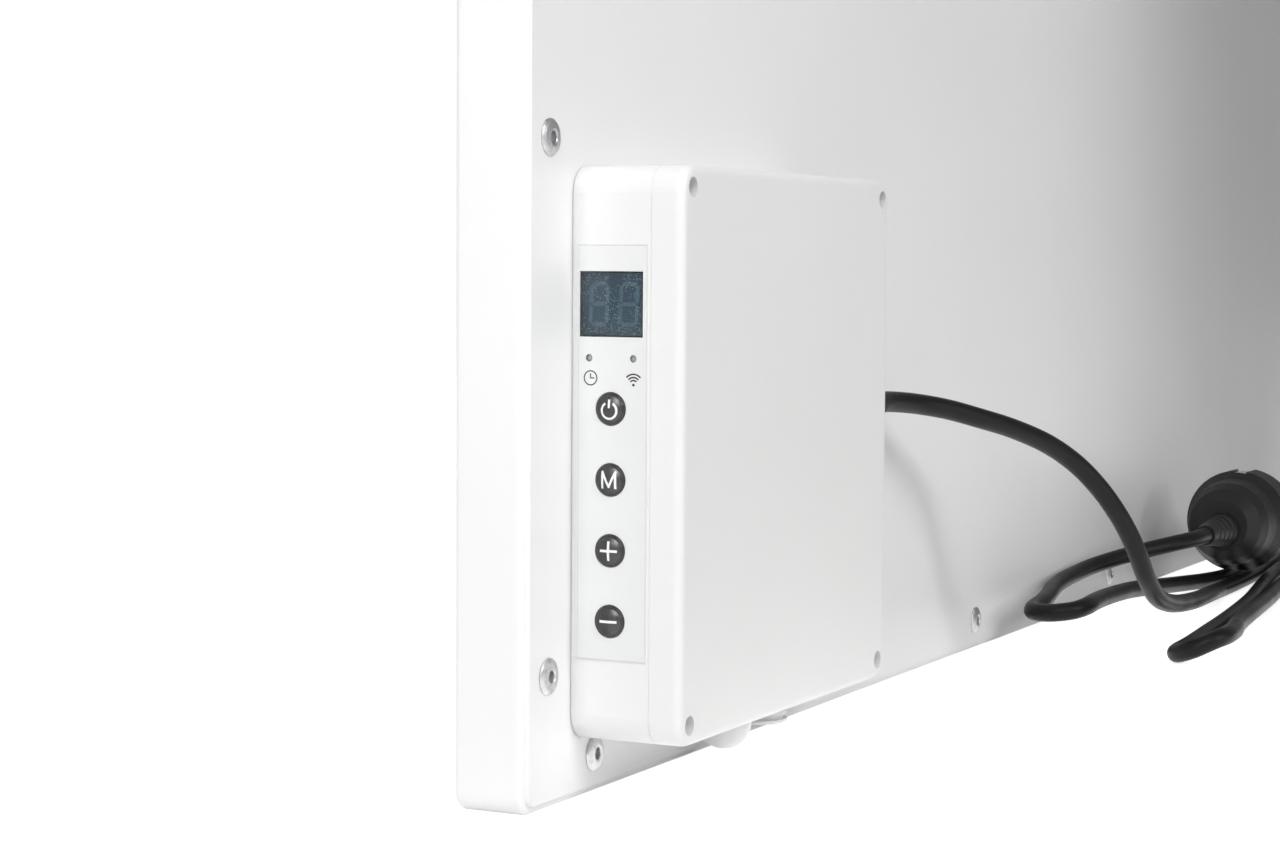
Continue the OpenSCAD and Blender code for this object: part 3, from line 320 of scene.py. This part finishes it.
def coated(name, colour, rough, grain, depth, change=0.015, cloud=9.0):
    """Powder coat: orange peel, with slow changes of tone and gloss."""
    m = Maker(name)
    low, high = shades(colour, change)
    tone = m.ramp(m.noise(cloud, 4.0), (0.35, low), (0.65, high))
    peel = m.noise(grain, 2.0, 0.5)
    fine = m.noise(grain * 4.5, 2.0, 0.6)
    normal = m.bump(fine, depth * 0.3, m.bump(peel, depth))
    gloss = m.span(m.noise(cloud * 3, 3.0), rough - 0.04, rough + 0.05)
    return m.put(Base_Color=tone, Roughness=gloss, Normal=normal, Specular_IOR_Level=0.45)


def moulded(
    name, colour, rough, grain=2600.0, depth=0.00002, change=0.02, cloud=30.0, scuffs=0.0, **more
):
    """Moulded plastic or rubber: spark grain, slow changes of tone, and a few polished rubs."""
    m = Maker(name)
    low, high = shades(colour, change)
    tone = m.ramp(m.noise(cloud, 5.0), (0.3, low), (0.7, high))
    pits = m.cells(grain)
    normal = m.bump(m.noise(grain * 0.5, 3.0, 0.6), depth, m.bump(pits, depth * 0.5))
    rub = m.noise(cloud * 2.5, 6.0, 0.7, distortion=0.6)
    gloss = m.span(rub, rough - 0.05 - scuffs, rough + 0.05)
    return m.put(Base_Color=tone, Roughness=gloss, Normal=normal, **more)


def metal(
    name, colour, rough, stretch=(1, 1, 1), grain=900.0, depth=0.00001, change=0.06, cloud=160.0
):
    """Bare metal with fine lines along one axis."""
    m = Maker(name)
    low, high = shades(colour, change)
    tone = m.ramp(m.noise(cloud, 4.0), (0.3, low), (0.7, high))
    lines = m.noise(grain, 4.0, 0.65, m.stretched(*stretch))
    return m.put(
        Base_Color=tone,
        Metallic=1.0,
        Roughness=m.span(lines, rough - 0.08, rough + 0.12),
        Normal=m.bump(lines, depth),
    )


def felt(name, colour):
    """Pressed fibre board: threads across and down."""
    m = Maker(name)
    low, high = shades(colour, 0.12)
    across = m.noise(500.0, 5.0, 0.7, m.stretched(0.25, 1, 2.5), 1.2)
    down = m.noise(500.0, 5.0, 0.7, m.stretched(2.5, 1, 0.25), 1.2)
    both = m.node("ShaderNodeMath", operation="MAXIMUM")
    m.link(across, both.inputs[0])
    m.link(down, both.inputs[1])
    return m.put(
        Base_Color=m.ramp(both.outputs[0], (0.4, low), (0.75, high)),
        Roughness=0.95,
        Normal=m.bump(both.outputs[0], 0.0004),
        Sheen_Weight=0.2,
    )


def foil(name):
    """Aluminium foil with creases and slow waves."""
    m = Maker(name)
    creases = m.cells(55.0, "DISTANCE_TO_EDGE", m.stretched(1, 1, 1.6))
    waves = m.noise(30.0, 4.0)
    return m.put(
        Base_Color=(0.86, 0.86, 0.87),
        Metallic=1.0,
        Roughness=m.span(waves, 0.16, 0.34),
        Normal=m.bump(waves, 0.0006, m.bump(m.ramp(creases, (0.0, 0.0), (0.08, 1.0)), 0.0003)),
    )


def board(name):
    """Circuit board: lacquered tracks with tinned pads."""
    m = Maker(name)
    tracks = m.node("ShaderNodeTexBrick", offset=0.37, squash=2.2, squash_frequency=3)
    tracks.inputs["Scale"].default_value = 95.0
    tracks.inputs["Mortar Size"].default_value = 0.035
    tracks.inputs["Mortar Smooth"].default_value = 0.0
    tracks.inputs["Row Height"].default_value = 0.19
    m.link(m.place, tracks.inputs["Vector"])
    pads = m.cells(260.0)
    copper = m.ramp(tracks.outputs["Fac"], (0.0, (0.012, 0.085, 0.038)), (1.0, (0.03, 0.19, 0.08)))
    tone = m.node("ShaderNodeMix", data_type="RGBA")
    m.link(m.ramp(pads, (0.09, 1.0), (0.12, 0.0)), tone.inputs["Factor"])
    m.link(copper, tone.inputs["A"])
    tone.inputs["B"].default_value = (0.62, 0.6, 0.55, 1)
    return m.put(
        Base_Color=tone.outputs["Result"],
        Roughness=m.span(m.noise(700.0), 0.28, 0.42),
        Normal=m.bump(tracks.outputs["Fac"], 0.00003),
        Coat_Weight=0.3,
        Coat_Roughness=0.2,
    )


def clear(name, colour, rough, weight):
    """Clear or milky plastic and glass."""
    m = Maker(name)
    return m.put(
        Base_Color=m.ramp(m.noise(220.0, 3.0), (0.3, shades(colour, 0.03)[0]), (0.7, colour)),
        Roughness=m.span(m.noise(900.0), max(rough - 0.03, 0.02), rough + 0.05),
        Transmission_Weight=weight,
        IOR=1.49,
        Normal=m.bump(m.noise(500.0, 2.0), 0.000004),
    )


def label_print(name):
    """Satin polyester film, slightly greyer than the box."""
    m = Maker(name)
    weave = m.noise(3800.0, 2.0, 0.5)
    tone = m.ramp(m.noise(60.0, 3.0), (0.3, (0.745, 0.75, 0.75)), (0.7, (0.765, 0.77, 0.77)))
    return m.put(
        Base_Color=tone,
        Roughness=m.span(m.noise(260.0, 4.0), 0.3, 0.42),
        Normal=m.bump(weave, 0.000008),
        Specular_IOR_Level=0.5,
    )


def tinted_window(name):
    """Smoked window with patches of dust specks."""
    m = Maker(name)
    dots = m.ramp(m.cells(2100.0), (0.12, 1.0), (0.17, 0.0))
    where = m.ramp(m.noise(260.0, 3.0), (0.4, 0.0), (0.53, 1.0))
    dust = m.product(dots, where)
    tone = m.node("ShaderNodeMix", data_type="RGBA")
    m.link(dust, tone.inputs["Factor"])
    tone.inputs["A"].default_value = (0.66, 0.78, 0.86, 1)
    tone.inputs["B"].default_value = (0.85, 0.88, 0.9, 1)
    return m.put(
        Base_Color=tone.outputs["Result"],
        Roughness=m.span(dust, 0.06, 0.6, 0.0, 1.0),
        Transmission_Weight=m.span(dust, 0.985, 0.5, 0.0, 1.0),
        IOR=1.46,
        Specular_IOR_Level=0.1,
    )


def cord_jacket(name):
    """Black extruded jacket: satin skin with slow changes of gloss."""
    m = Maker(name)
    tone = m.ramp(m.noise(35.0, 4.0), (0.3, (0.005, 0.005, 0.0055)), (0.75, (0.011, 0.011, 0.0115)))
    skin = m.noise(1500.0, 3.0, 0.6)
    waves = m.noise(90.0, 2.0)
    return m.put(
        Base_Color=tone,
        Roughness=m.span(m.noise(60.0, 4.0), 0.36, 0.46),
        Normal=m.bump(skin, 0.000012, m.bump(waves, 0.00008)),
        Specular_IOR_Level=0.22,
    )


def print_and_shade_look(name, colour):
    """Colour of print, and of the painted shade lines along the film's edges, slightly uneven."""
    m = Maker(name)
    low, high = shades(colour, 0.06)
    return m.put(
        Base_Color=m.ramp(m.noise(900.0, 4.0), (0.3, low), (0.7, high)),
        Roughness=m.span(m.noise(1500.0), 0.44, 0.58),
        Normal=m.bump(m.noise(4000.0), 0.000006),
    )


finishes = {
    "tray_paint": coated(
        "tray_paint", (0.915, 0.915, 0.915), rough=0.42, grain=1100.0, depth=0.000016
    ),
    "plate_paint": coated(
        "plate_paint", (0.86, 0.86, 0.86), rough=0.40, grain=900.0, depth=0.00002, change=0.02,
        cloud=6.0,
    ),
    "heater_film": moulded("heater_film", (0.04, 0.04, 0.042), rough=0.45, grain=700.0),
    "copper": metal("copper", (0.8, 0.42, 0.24), rough=0.3, stretch=(0.1, 1, 1)),
    "insulation": felt("insulation", (0.85, 0.8, 0.62)),
    "foil": foil("foil"),
    "rivet_aluminium": metal(
        "rivet_aluminium", (0.58, 0.58, 0.59), rough=0.42, stretch=(1, 1, 1), grain=1500.0,
        depth=0.00004, change=0.2, cloud=700.0,
    ),
    "zinc_steel": metal(
        "zinc_steel", (0.62, 0.62, 0.63), rough=0.34, stretch=(1, 1, 1), grain=1100.0,
        depth=0.00001, change=0.1, cloud=500.0,
    ),
    "dark_part": moulded("dark_part", (0.045, 0.045, 0.05), rough=0.5),
    "lead_jacket": moulded("lead_jacket", (0.24, 0.10, 0.05), rough=0.5),
    "earth_jacket": moulded("earth_jacket", (0.42, 0.5, 0.06), rough=0.5),
    "black_rubber": moulded(
        "black_rubber", (0.014, 0.014, 0.015), rough=0.55, grain=1500.0, depth=0.00003,
        Specular_IOR_Level=0.3,
    ),
    "white_plastic": moulded(
        "white_plastic", (0.80, 0.80, 0.797), rough=0.5, grain=2300.0, depth=0.000022, change=0.012,
        cloud=14.0, scuffs=0.03,
    ),
    "label_film": label_print("label_film"),
    "display_glass": tinted_window("display_glass"),
    "display_body": moulded(
        "display_body", (0.022, 0.054, 0.076), rough=0.35, grain=1800.0, depth=0.00001, change=0.12,
        cloud=240.0, Specular_IOR_Level=0.15,
    ),
    "circuit_board": board("circuit_board"),
    "lamp_lens": moulded("lamp_lens", (0.32, 0.32, 0.32), rough=0.25, grain=1600.0, depth=0.00001),
    "black_key": moulded(
        "black_key", (0.016, 0.016, 0.018), rough=0.3, grain=3000.0, depth=0.000012, change=0.1,
        cloud=180.0, Specular_IOR_Level=0.8,
    ),
    "relay_case": moulded("relay_case", (0.03, 0.1, 0.32), rough=0.3),
    "capacitor_case": moulded("capacitor_case", (0.6, 0.4, 0.05), rough=0.3),
    "fuse_tube": clear("fuse_tube", (0.9, 0.9, 0.88), rough=0.06, weight=0.75),
    "terminal_case": moulded("terminal_case", (0.05, 0.25, 0.12), rough=0.4),
    "ribbon": moulded("ribbon", (0.42, 0.42, 0.44), rough=0.4),
    "clear_dome": clear("clear_dome", (0.985, 0.988, 0.99), rough=0.3, weight=0.25),
    "cord_jacket": cord_jacket("cord_jacket"),
    "core_jacket": moulded("core_jacket", (0.08, 0.13, 0.4), rough=0.45),
    "tie_plastic": moulded(
        "tie_plastic", (0.02, 0.02, 0.021), rough=0.4, grain=1400.0, depth=0.00002
    ),
    "plug_rubber": moulded(
        "plug_rubber", (0.016, 0.016, 0.017), rough=0.5, grain=1700.0, depth=0.00003, change=0.1,
        cloud=60.0, scuffs=0.04, Specular_IOR_Level=0.35,
    ),
    "contact_metal": metal(
        "contact_metal", (0.74, 0.71, 0.66), rough=0.22, stretch=(0.12, 1, 1), grain=1500.0,
        depth=0.00001, change=0.05, cloud=300.0,
    ),
}

for part in frame["record"]["subparts"]:
    shown = nodes[part["node"]]
    shown.data.materials.clear()
    shown.data.materials.append(finishes[part["material_slot"]])

mains_cord.data.materials.append(finishes["cord_jacket"])

# Small pieces on the control box (mm): caps, symbols, icons, painted shade along the film's edges,
# display

# faces of the film and of the keys (x), middle of the film (y), heights of the keys (z)
FILM_TOP, KEY_TOP, LABEL_Y = 480.25, 480.65, 5.25
KEYS = {"minus": 40.35, "plus": 55.65, "mode": 70.95, "power": 86.25}
CAP_R, CAP_RISE = 3.25, 0.55
# how far print, painted edge shade and caps go into what they lie on, and how far the marks stand
# out
SINK = 0.02
INK_ON_KEY, INK_ON_FILM, EDGE_SHADE_LIFT, SEGMENT_LIFT = 0.03, 0.015, 0.012, 0.06
CORNERS = ((-1, -1), (1, -1), (1, 1), (-1, 1))


def piece(name, verts, faces, body, slot, material=None, smooth=True):
    """A mesh piece in the row frame, its points given in millimetres."""
    data = bpy.data.meshes.new(name)
    data.from_pydata([tuple(v * MM for v in p) for p in verts], [], faces)
    bm = bmesh.new()
    bm.from_mesh(data)
    bmesh.ops.recalc_face_normals(bm, faces=bm.faces)
    bm.to_mesh(data)
    bm.free()
    if smooth:
        data.shade_smooth()
    obj = bpy.data.objects.new(name, data)
    scene.collection.objects.link(obj)
    data.materials.append(material or finishes[slot])
    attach(obj, body)


def straight(a, b, step=0.2):
    """Points (y, z) from a to b, near enough to follow a dome."""
    n = max(1, int(math.ceil(math.dist(a, b) / step)))
    return [(a[0] + (b[0] - a[0]) * i / n, a[1] + (b[1] - a[1]) * i / n) for i in range(n + 1)]


def arc(centre, r, a, b, step=6.0):
    """Points (y, z) of an arc from a to b degrees."""
    n = max(3, int(abs(b - a) / step))
    out = []
    for i in range(n + 1):
        t = math.radians(a + (b - a) * i / n)
        out.append((centre[0] + r * math.cos(t), centre[1] + r * math.sin(t)))
    return out


class PrintAndShade:
    """Strokes and spots of print, and of painted shade, laid on a surface that is given by its
    height at (y, z).
    """

    def __init__(self, height, lift):
        self.verts, self.faces, self.height, self.lift = [], [], height, lift

    def _add(self, y, z, up):
        self.verts.append((self.height(y, z) + (self.lift if up else -SINK), y, z))
        return len(self.verts) - 1

    def stroke(self, path, width, closed=False):
        """A line along the path, of one width or of a list of widths."""
        rows = []
        n = len(path)
        for i, p in enumerate(path):
            a = path[(i - 1) % n] if closed or i else path[0]
            b = path[(i + 1) % n] if closed or i < n - 1 else path[-1]
            t = Vector((b[0] - a[0], b[1] - a[1])).normalized()
            half = (width[i] if isinstance(width, list) else width) / 2
            sy, sz = -t.y * half, t.x * half
            rows.append(
                [
                    self._add(p[0] + sy, p[1] + sz, False),
                    self._add(p[0] + sy, p[1] + sz, True),
                    self._add(p[0] - sy, p[1] - sz, True),
                    self._add(p[0] - sy, p[1] - sz, False),
                ]
            )
        pairs = list(zip(rows, rows[1:])) + ([(rows[-1], rows[0])] if closed else [])
        for a, b in pairs:
            for k in range(4):
                self.faces.append((a[k], a[(k + 1) % 4], b[(k + 1) % 4], b[k]))
        if not closed:
            self.faces += [tuple(rows[0]), tuple(reversed(rows[-1]))]

    def spot(self, centre, r, n=24):
        turns = [2 * math.pi * i / n for i in range(n)]
        rim = [(centre[0] + r * math.cos(t), centre[1] + r * math.sin(t)) for t in turns]
        top = [self._add(*p, True) for p in rim]
        low = [self._add(*p, False) for p in rim]
        self.faces += [tuple(top), tuple(reversed(low))]
        self.faces += [(top[i], top[(i + 1) % n], low[(i + 1) % n], low[i]) for i in range(n)]


white_ink = print_and_shade_look("white_ink", (0.84, 0.84, 0.83))
grey_ink = print_and_shade_look("grey_ink", (0.04, 0.04, 0.04))
# grey of the painted shade along the film's edges
painted_edge_shade = print_and_shade_look("painted_edge_shade", (0.56, 0.565, 0.57))
dark_ink = print_and_shade_look("dark_ink", (0.015, 0.015, 0.016))


def dome_height(z0):
    """Height of the domed cap whose middle is at z0, as a function of the place on it."""

    def height(y, z):
        share = ((y - LABEL_Y) ** 2 + (z - z0) ** 2) / CAP_R**2
        return KEY_TOP + CAP_RISE * max(0.0, 1 - share)

    return height


def dome_cap(name, z0, body, turns=48, steps=8):
    """Low dome on the flat top of a key."""
    verts, faces = [], []
    for i in range(steps):
        r = CAP_R * (1 - i / steps)
        x = KEY_TOP - SINK if i == 0 else KEY_TOP + CAP_RISE * (1 - (r / CAP_R) ** 2)
        for k in range(turns):
            a = 2 * math.pi * k / turns
            verts.append((x, LABEL_Y + r * math.cos(a), z0 + r * math.sin(a)))
    verts.append((KEY_TOP + CAP_RISE, LABEL_Y, z0))
    for i in range(steps - 1):
        for k in range(turns):
            a, b = i * turns + k, i * turns + (k + 1) % turns
            faces.append((a, b, b + turns, a + turns))
    last = (steps - 1) * turns
    faces += [(last + k, last + (k + 1) % turns, len(verts) - 1) for k in range(turns)]
    faces.append(tuple(range(turns)))
    piece(name, verts, faces, body, "black_key")


for key, z0 in KEYS.items():
    dome_cap(key + "_cap", z0, key + "_button")


def key_print(key):
    """Empty print for the symbol on a key's dome."""
    return PrintAndShade(dome_height(KEYS[key]), INK_ON_KEY)


def add_print_and_shade(name, marks, material, body=BODY):
    piece(name, marks.verts, marks.faces, body, "label_film", material, smooth=False)


# Power: an open ring with a bar in its gap
POWER_W, POWER_R, POWER_ARC = 0.5, 1.75, (120, 420)
POWER_DROP, BAR_LOW, BAR_HIGH = 0.35, 0.55, 2.4
marks, z0 = key_print("power"), KEYS["power"] - POWER_DROP
marks.stroke(arc((LABEL_Y, z0), POWER_R, *POWER_ARC), POWER_W)
marks.stroke(straight((LABEL_Y, z0 + BAR_LOW), (LABEL_Y, z0 + BAR_HIGH)), POWER_W)
add_print_and_shade("power_mark", marks, white_ink, "power_button")

# Mode: the letter's strokes, with a spot at each bend
LETTER_W = 0.52
LETTER = [(-1.55, -1.85), (-1.55, 1.75), (0, -1.45), (1.55, 1.75), (1.55, -1.85)]
marks = key_print("mode")
corners = [(LABEL_Y + dy, KEYS["mode"] + dz) for dy, dz in LETTER]
for a, b in zip(corners, corners[1:]):
    marks.stroke(straight(a, b), LETTER_W)
for a in corners[1:4]:
    marks.spot(a, LETTER_W / 2)
add_print_and_shade("mode_mark", marks, white_ink, "mode_button")

SIGN_W, SIGN_Y, SIGN_Z = 0.56, 2.05, 2.1
for key in ("plus", "minus"):
    marks, z0 = key_print(key), KEYS[key]
    marks.stroke(straight((LABEL_Y - SIGN_Y, z0), (LABEL_Y + SIGN_Y, z0)), SIGN_W)
    if key == "plus":
        marks.stroke(straight((LABEL_Y, z0 - SIGN_Z), (LABEL_Y, z0 + SIGN_Z)), SIGN_W)
    add_print_and_shade(key + "_mark", marks, white_ink, key + "_button")


def on_film(y, z):
    return FILM_TOP


# Icon of the timer: a clock face with two hands
CLOCK = (LABEL_Y - 4.92, 92.8)
CLOCK_R, CLOCK_W, HAND_W, HAND_UP, HAND_ACROSS = 1.52, 0.28, 0.26, 1.0, 0.95
marks = PrintAndShade(on_film, INK_ON_FILM)
marks.stroke(arc(CLOCK, CLOCK_R, 0, 354), CLOCK_W, closed=True)
marks.stroke(straight(CLOCK, (CLOCK[0], CLOCK[1] + HAND_UP)), HAND_W)
marks.stroke(
    straight((CLOCK[0] - HAND_W / 2, CLOCK[1]), (CLOCK[0] + HAND_ACROSS, CLOCK[1])), HAND_W
)
add_print_and_shade("timer_icon", marks, grey_ink)

# Icon of the wireless control: a spot under three arcs
FAN = (LABEL_Y + 5.4, 91.5)
FAN_SPOT_R, FAN_W, FAN_OPENING, FAN_RADII = 0.3, 0.33, 47, (0.98, 1.62, 2.3)
marks = PrintAndShade(on_film, INK_ON_FILM)
marks.spot(FAN, FAN_SPOT_R)
for r in FAN_RADII:
    marks.stroke(arc(FAN, r, 90 - FAN_OPENING, 90 + FAN_OPENING), FAN_W)
add_print_and_shade("wireless_icon", marks, dark_ink)

# Painted shade along the edges of the film: one strong line on top, three faint ones
EDGE_LEFT, EDGE_IN = 0.75, 0.12
EDGE_TOP_W, EDGE_W, EDGE_STEP = 0.2, 0.09, 2.0
film = nodes["label_film"]
film_corners = [film.matrix_world @ Vector(corner) for corner in film.bound_box]
film_y, film_z = [v.y / MM for v in film_corners], [v.z / MM for v in film_corners]
y_low, y_high = min(film_y) + EDGE_LEFT, max(film_y) - EDGE_IN
z_low, z_high = min(film_z) + EDGE_IN, max(film_z) - EDGE_IN
marks = PrintAndShade(on_film, EDGE_SHADE_LIFT)
marks.stroke(straight((y_low, z_high), (y_high, z_high)), EDGE_TOP_W)
for a, b in (
    ((y_low, z_low), (y_high, z_low)),
    ((y_low, z_low), (y_low, z_high)),
    ((y_high, z_low), (y_high, z_high)),
):
    marks.stroke(straight(a, b, EDGE_STEP), EDGE_W)
add_print_and_shade("film_edge_shade", marks, painted_edge_shade)

# Unlit display behind the window: two figures of seven segments on a dark face, in a dark lining
SCREEN_X, SCREEN_Z, SCREEN_BACK = 479.3, 108.7, 477.52
FACE_Y, FACE_Z = 6.93, 6.43
LINING_OUT, LINING_IN, LINING_FRONT = (7.2, 6.7), (6.95, 6.45), 479.97
FIGURES_Y, FIGURE_SHIFT = (-3.55, 3.55), 0.25
FIGURE_Y, FIGURE_Z, FIGURE_GAP = 1.95, 4.35, 0.5
SEGMENT_W, SEGMENT_TIP, SEGMENT_TAPER = 0.85, 0.12, 0.35
SLANT = math.tan(math.radians(2.5))

digits = PrintAndShade(lambda y, z: SCREEN_X, SEGMENT_LIFT)


def segment(y, z, across, length):
    """One segment with tapered ends, leaning with its figure."""
    half = length / 2
    points = []
    for along in (-half, -half + SEGMENT_TAPER, half - SEGMENT_TAPER, half):
        py, pz = (y + along, z) if across else (y, z + along)
        points.append((py + (pz - SCREEN_Z) * SLANT, pz))
    digits.stroke(points, [SEGMENT_TIP, SEGMENT_W, SEGMENT_W, SEGMENT_TIP])


for middle in FIGURES_Y:
    y = LABEL_Y + middle + FIGURE_SHIFT
    for dz in (-FIGURE_Z, 0, FIGURE_Z):
        segment(y, SCREEN_Z + dz, True, 2 * FIGURE_Y - FIGURE_GAP)
    for dy in (-FIGURE_Y, FIGURE_Y):
        for dz in (-FIGURE_Z / 2, FIGURE_Z / 2):
            segment(y + dy, SCREEN_Z + dz, False, FIGURE_Z - FIGURE_GAP)
unlit = moulded(
    "unlit_segment", (0.105, 0.163, 0.193), rough=0.4, grain=1500.0, depth=0.00001, change=0.1,
    cloud=300.0, Specular_IOR_Level=0.15,
)
piece("display_digits", digits.verts, digits.faces, BODY, "display_body", unlit, smooth=False)

face = moulded(
    "display_face", (0.022, 0.054, 0.076), rough=0.35, grain=1800.0, depth=0.00001, change=0.12,
    cloud=240.0, Specular_IOR_Level=0.15,
)
verts = [
    (x, LABEL_Y + sy * FACE_Y, SCREEN_Z + sz * FACE_Z)
    for x in (SCREEN_BACK, SCREEN_X)
    for sy, sz in CORNERS
]
faces = [(0, 1, 2, 3), (4, 5, 6, 7), (0, 1, 5, 4), (1, 2, 6, 5), (2, 3, 7, 6), (3, 0, 4, 7)]
piece("display_face", verts, faces, BODY, "display_body", face, smooth=False)

gasket = moulded(
    "display_gasket", (0.035, 0.033, 0.03), rough=0.7, grain=900.0, depth=0.00006, change=0.25,
    cloud=500.0,
)
verts = [
    (x, LABEL_Y + sy * half_y, SCREEN_Z + sz * half_z)
    for x in (SCREEN_BACK, LINING_FRONT)
    for half_y, half_z in (LINING_OUT, LINING_IN)
    for sy, sz in CORNERS
]
faces = []
for k in range(4):
    j = (k + 1) % 4
    faces += [(k, j, 4 + j, 4 + k), (8 + k, 12 + k, 12 + j, 8 + j)]
    faces += [(k, 8 + k, 8 + j, j), (4 + k, 4 + j, 12 + j, 12 + k)]
piece("display_lining", verts, faces, BODY, "display_body", gasket, smooth=False)

# Stage and light (metres, watts): a pale floor under a white studio, with soft lamps

FLOOR_HALF, FLOOR_SHADE, FLOOR_GLOW = 4, 0.86, 0.80
WORLD_SEEN, WORLD_FILL = 1.0, 0.29


def any_ray(tree, *kinds):
    """1 where the ray is one of the kinds named, else 0."""
    rays = tree.nodes.new("ShaderNodeLightPath").outputs
    value = rays[kinds[0]]
    for kind in kinds[1:]:
        either = tree.nodes.new("ShaderNodeMath")
        either.operation = "MAXIMUM"
        tree.links.new(value, either.inputs[0])
        tree.links.new(rays[kind], either.inputs[1])
        value = either.outputs[0]
    return value


def blended(tree, kind, factor, first, second):
    """Ends the tree with one shader where the factor is 0 and another where it is 1."""
    mix = tree.nodes.new("ShaderNodeMixShader")
    for source, socket in ((factor, 0), (first, 1), (second, 2)):
        tree.links.new(source, mix.inputs[socket])
    tree.links.new(mix.outputs[0], tree.nodes.new(kind).inputs["Surface"])


floor_look = bpy.data.materials.new("floor")
floor_look.use_nodes = True
tree = floor_look.node_tree
tree.nodes.clear()
lit = tree.nodes.new("ShaderNodeBsdfDiffuse")
lit.inputs["Color"].default_value = (FLOOR_SHADE, FLOOR_SHADE, FLOOR_SHADE, 1)
glow = tree.nodes.new("ShaderNodeEmission")
glow.inputs["Strength"].default_value = FLOOR_GLOW
both = tree.nodes.new("ShaderNodeAddShader")
tree.links.new(lit.outputs[0], both.inputs[0])
tree.links.new(glow.outputs[0], both.inputs[1])
rays = any_ray(tree, "Is Camera Ray", "Is Transmission Ray", "Is Glossy Ray")
blended(tree, "ShaderNodeOutputMaterial", rays, lit.outputs[0], both.outputs[0])

floor_data = bpy.data.meshes.new("floor")
floor_verts = [(x * FLOOR_HALF, y * FLOOR_HALF, 0) for x, y in CORNERS]
floor_data.from_pydata(floor_verts, [], [(0, 1, 2, 3)])
floor_data.materials.append(floor_look)
floor = bpy.data.objects.new("floor", floor_data)
scene.collection.objects.link(floor)

world = bpy.data.worlds.new("studio")
scene.world = world
world.use_nodes = True
tree = world.node_tree
tree.nodes.clear()
backgrounds = []
for strength in (WORLD_FILL, WORLD_SEEN):
    made = tree.nodes.new("ShaderNodeBackground")
    made.inputs["Color"].default_value = (1, 1, 1, 1)
    made.inputs["Strength"].default_value = strength
    backgrounds.append(made.outputs[0])
rays = any_ray(tree, "Is Camera Ray", "Is Transmission Ray")
blended(tree, "ShaderNodeOutputWorld", rays, *backgrounds)


def soft_box(name, place, target, width, height, watts, spread=180):
    """Area lamp that faces its target, with its light narrowed to the spread in degrees."""
    data = bpy.data.lights.new(name, "AREA")
    data.shape = "RECTANGLE"
    data.size, data.size_y, data.energy = width, height, watts
    data.spread = math.radians(spread)
    lamp = bpy.data.objects.new(name, data)
    scene.collection.objects.link(lamp)
    lamp.location = place
    lamp.rotation_mode = "QUATERNION"
    lamp.rotation_quaternion = (Vector(target) - Vector(place)).to_track_quat("-Z", "Y")
    return lamp


soft_box(
    "key_light", (1.05, 0.30, 0.70), (0.40, 0.0, 0.16), width=0.5, height=0.5, watts=1.05,
    spread=100,
)
soft_box(
    "side_light", (1.28, -0.09, 0.34), (0.46, 0.0, 0.12), width=0.2, height=0.22, watts=0.25,
    spread=60,
)
soft_box(
    "rear_light", (0.60, 0.90, 0.60), (0.44, 0.0, 0.16), width=0.4, height=0.4, watts=0.38,
    spread=44,
)
soft_box(
    "plate_light", (0.20, 0.95, 0.50), (0.14, 0.0, 0.28), width=0.10, height=0.8, watts=0.105,
    spread=24,
)
# what a bright floor sends up at the box from below
low_light = soft_box(
    "low_light", (0.42, 0.035, 0.0015), (0.42, 0.035, 1.0), width=0.15, height=0.06, watts=0.0085
)
low_light.visible_camera = False
soft_box("front_light", (-0.3, -1.8, 1.4), (0.0, 0.0, 0.3), width=1.6, height=1.6, watts=14.0)

scene.view_settings.view_transform = "Standard"

bpy.context.view_layer.update()
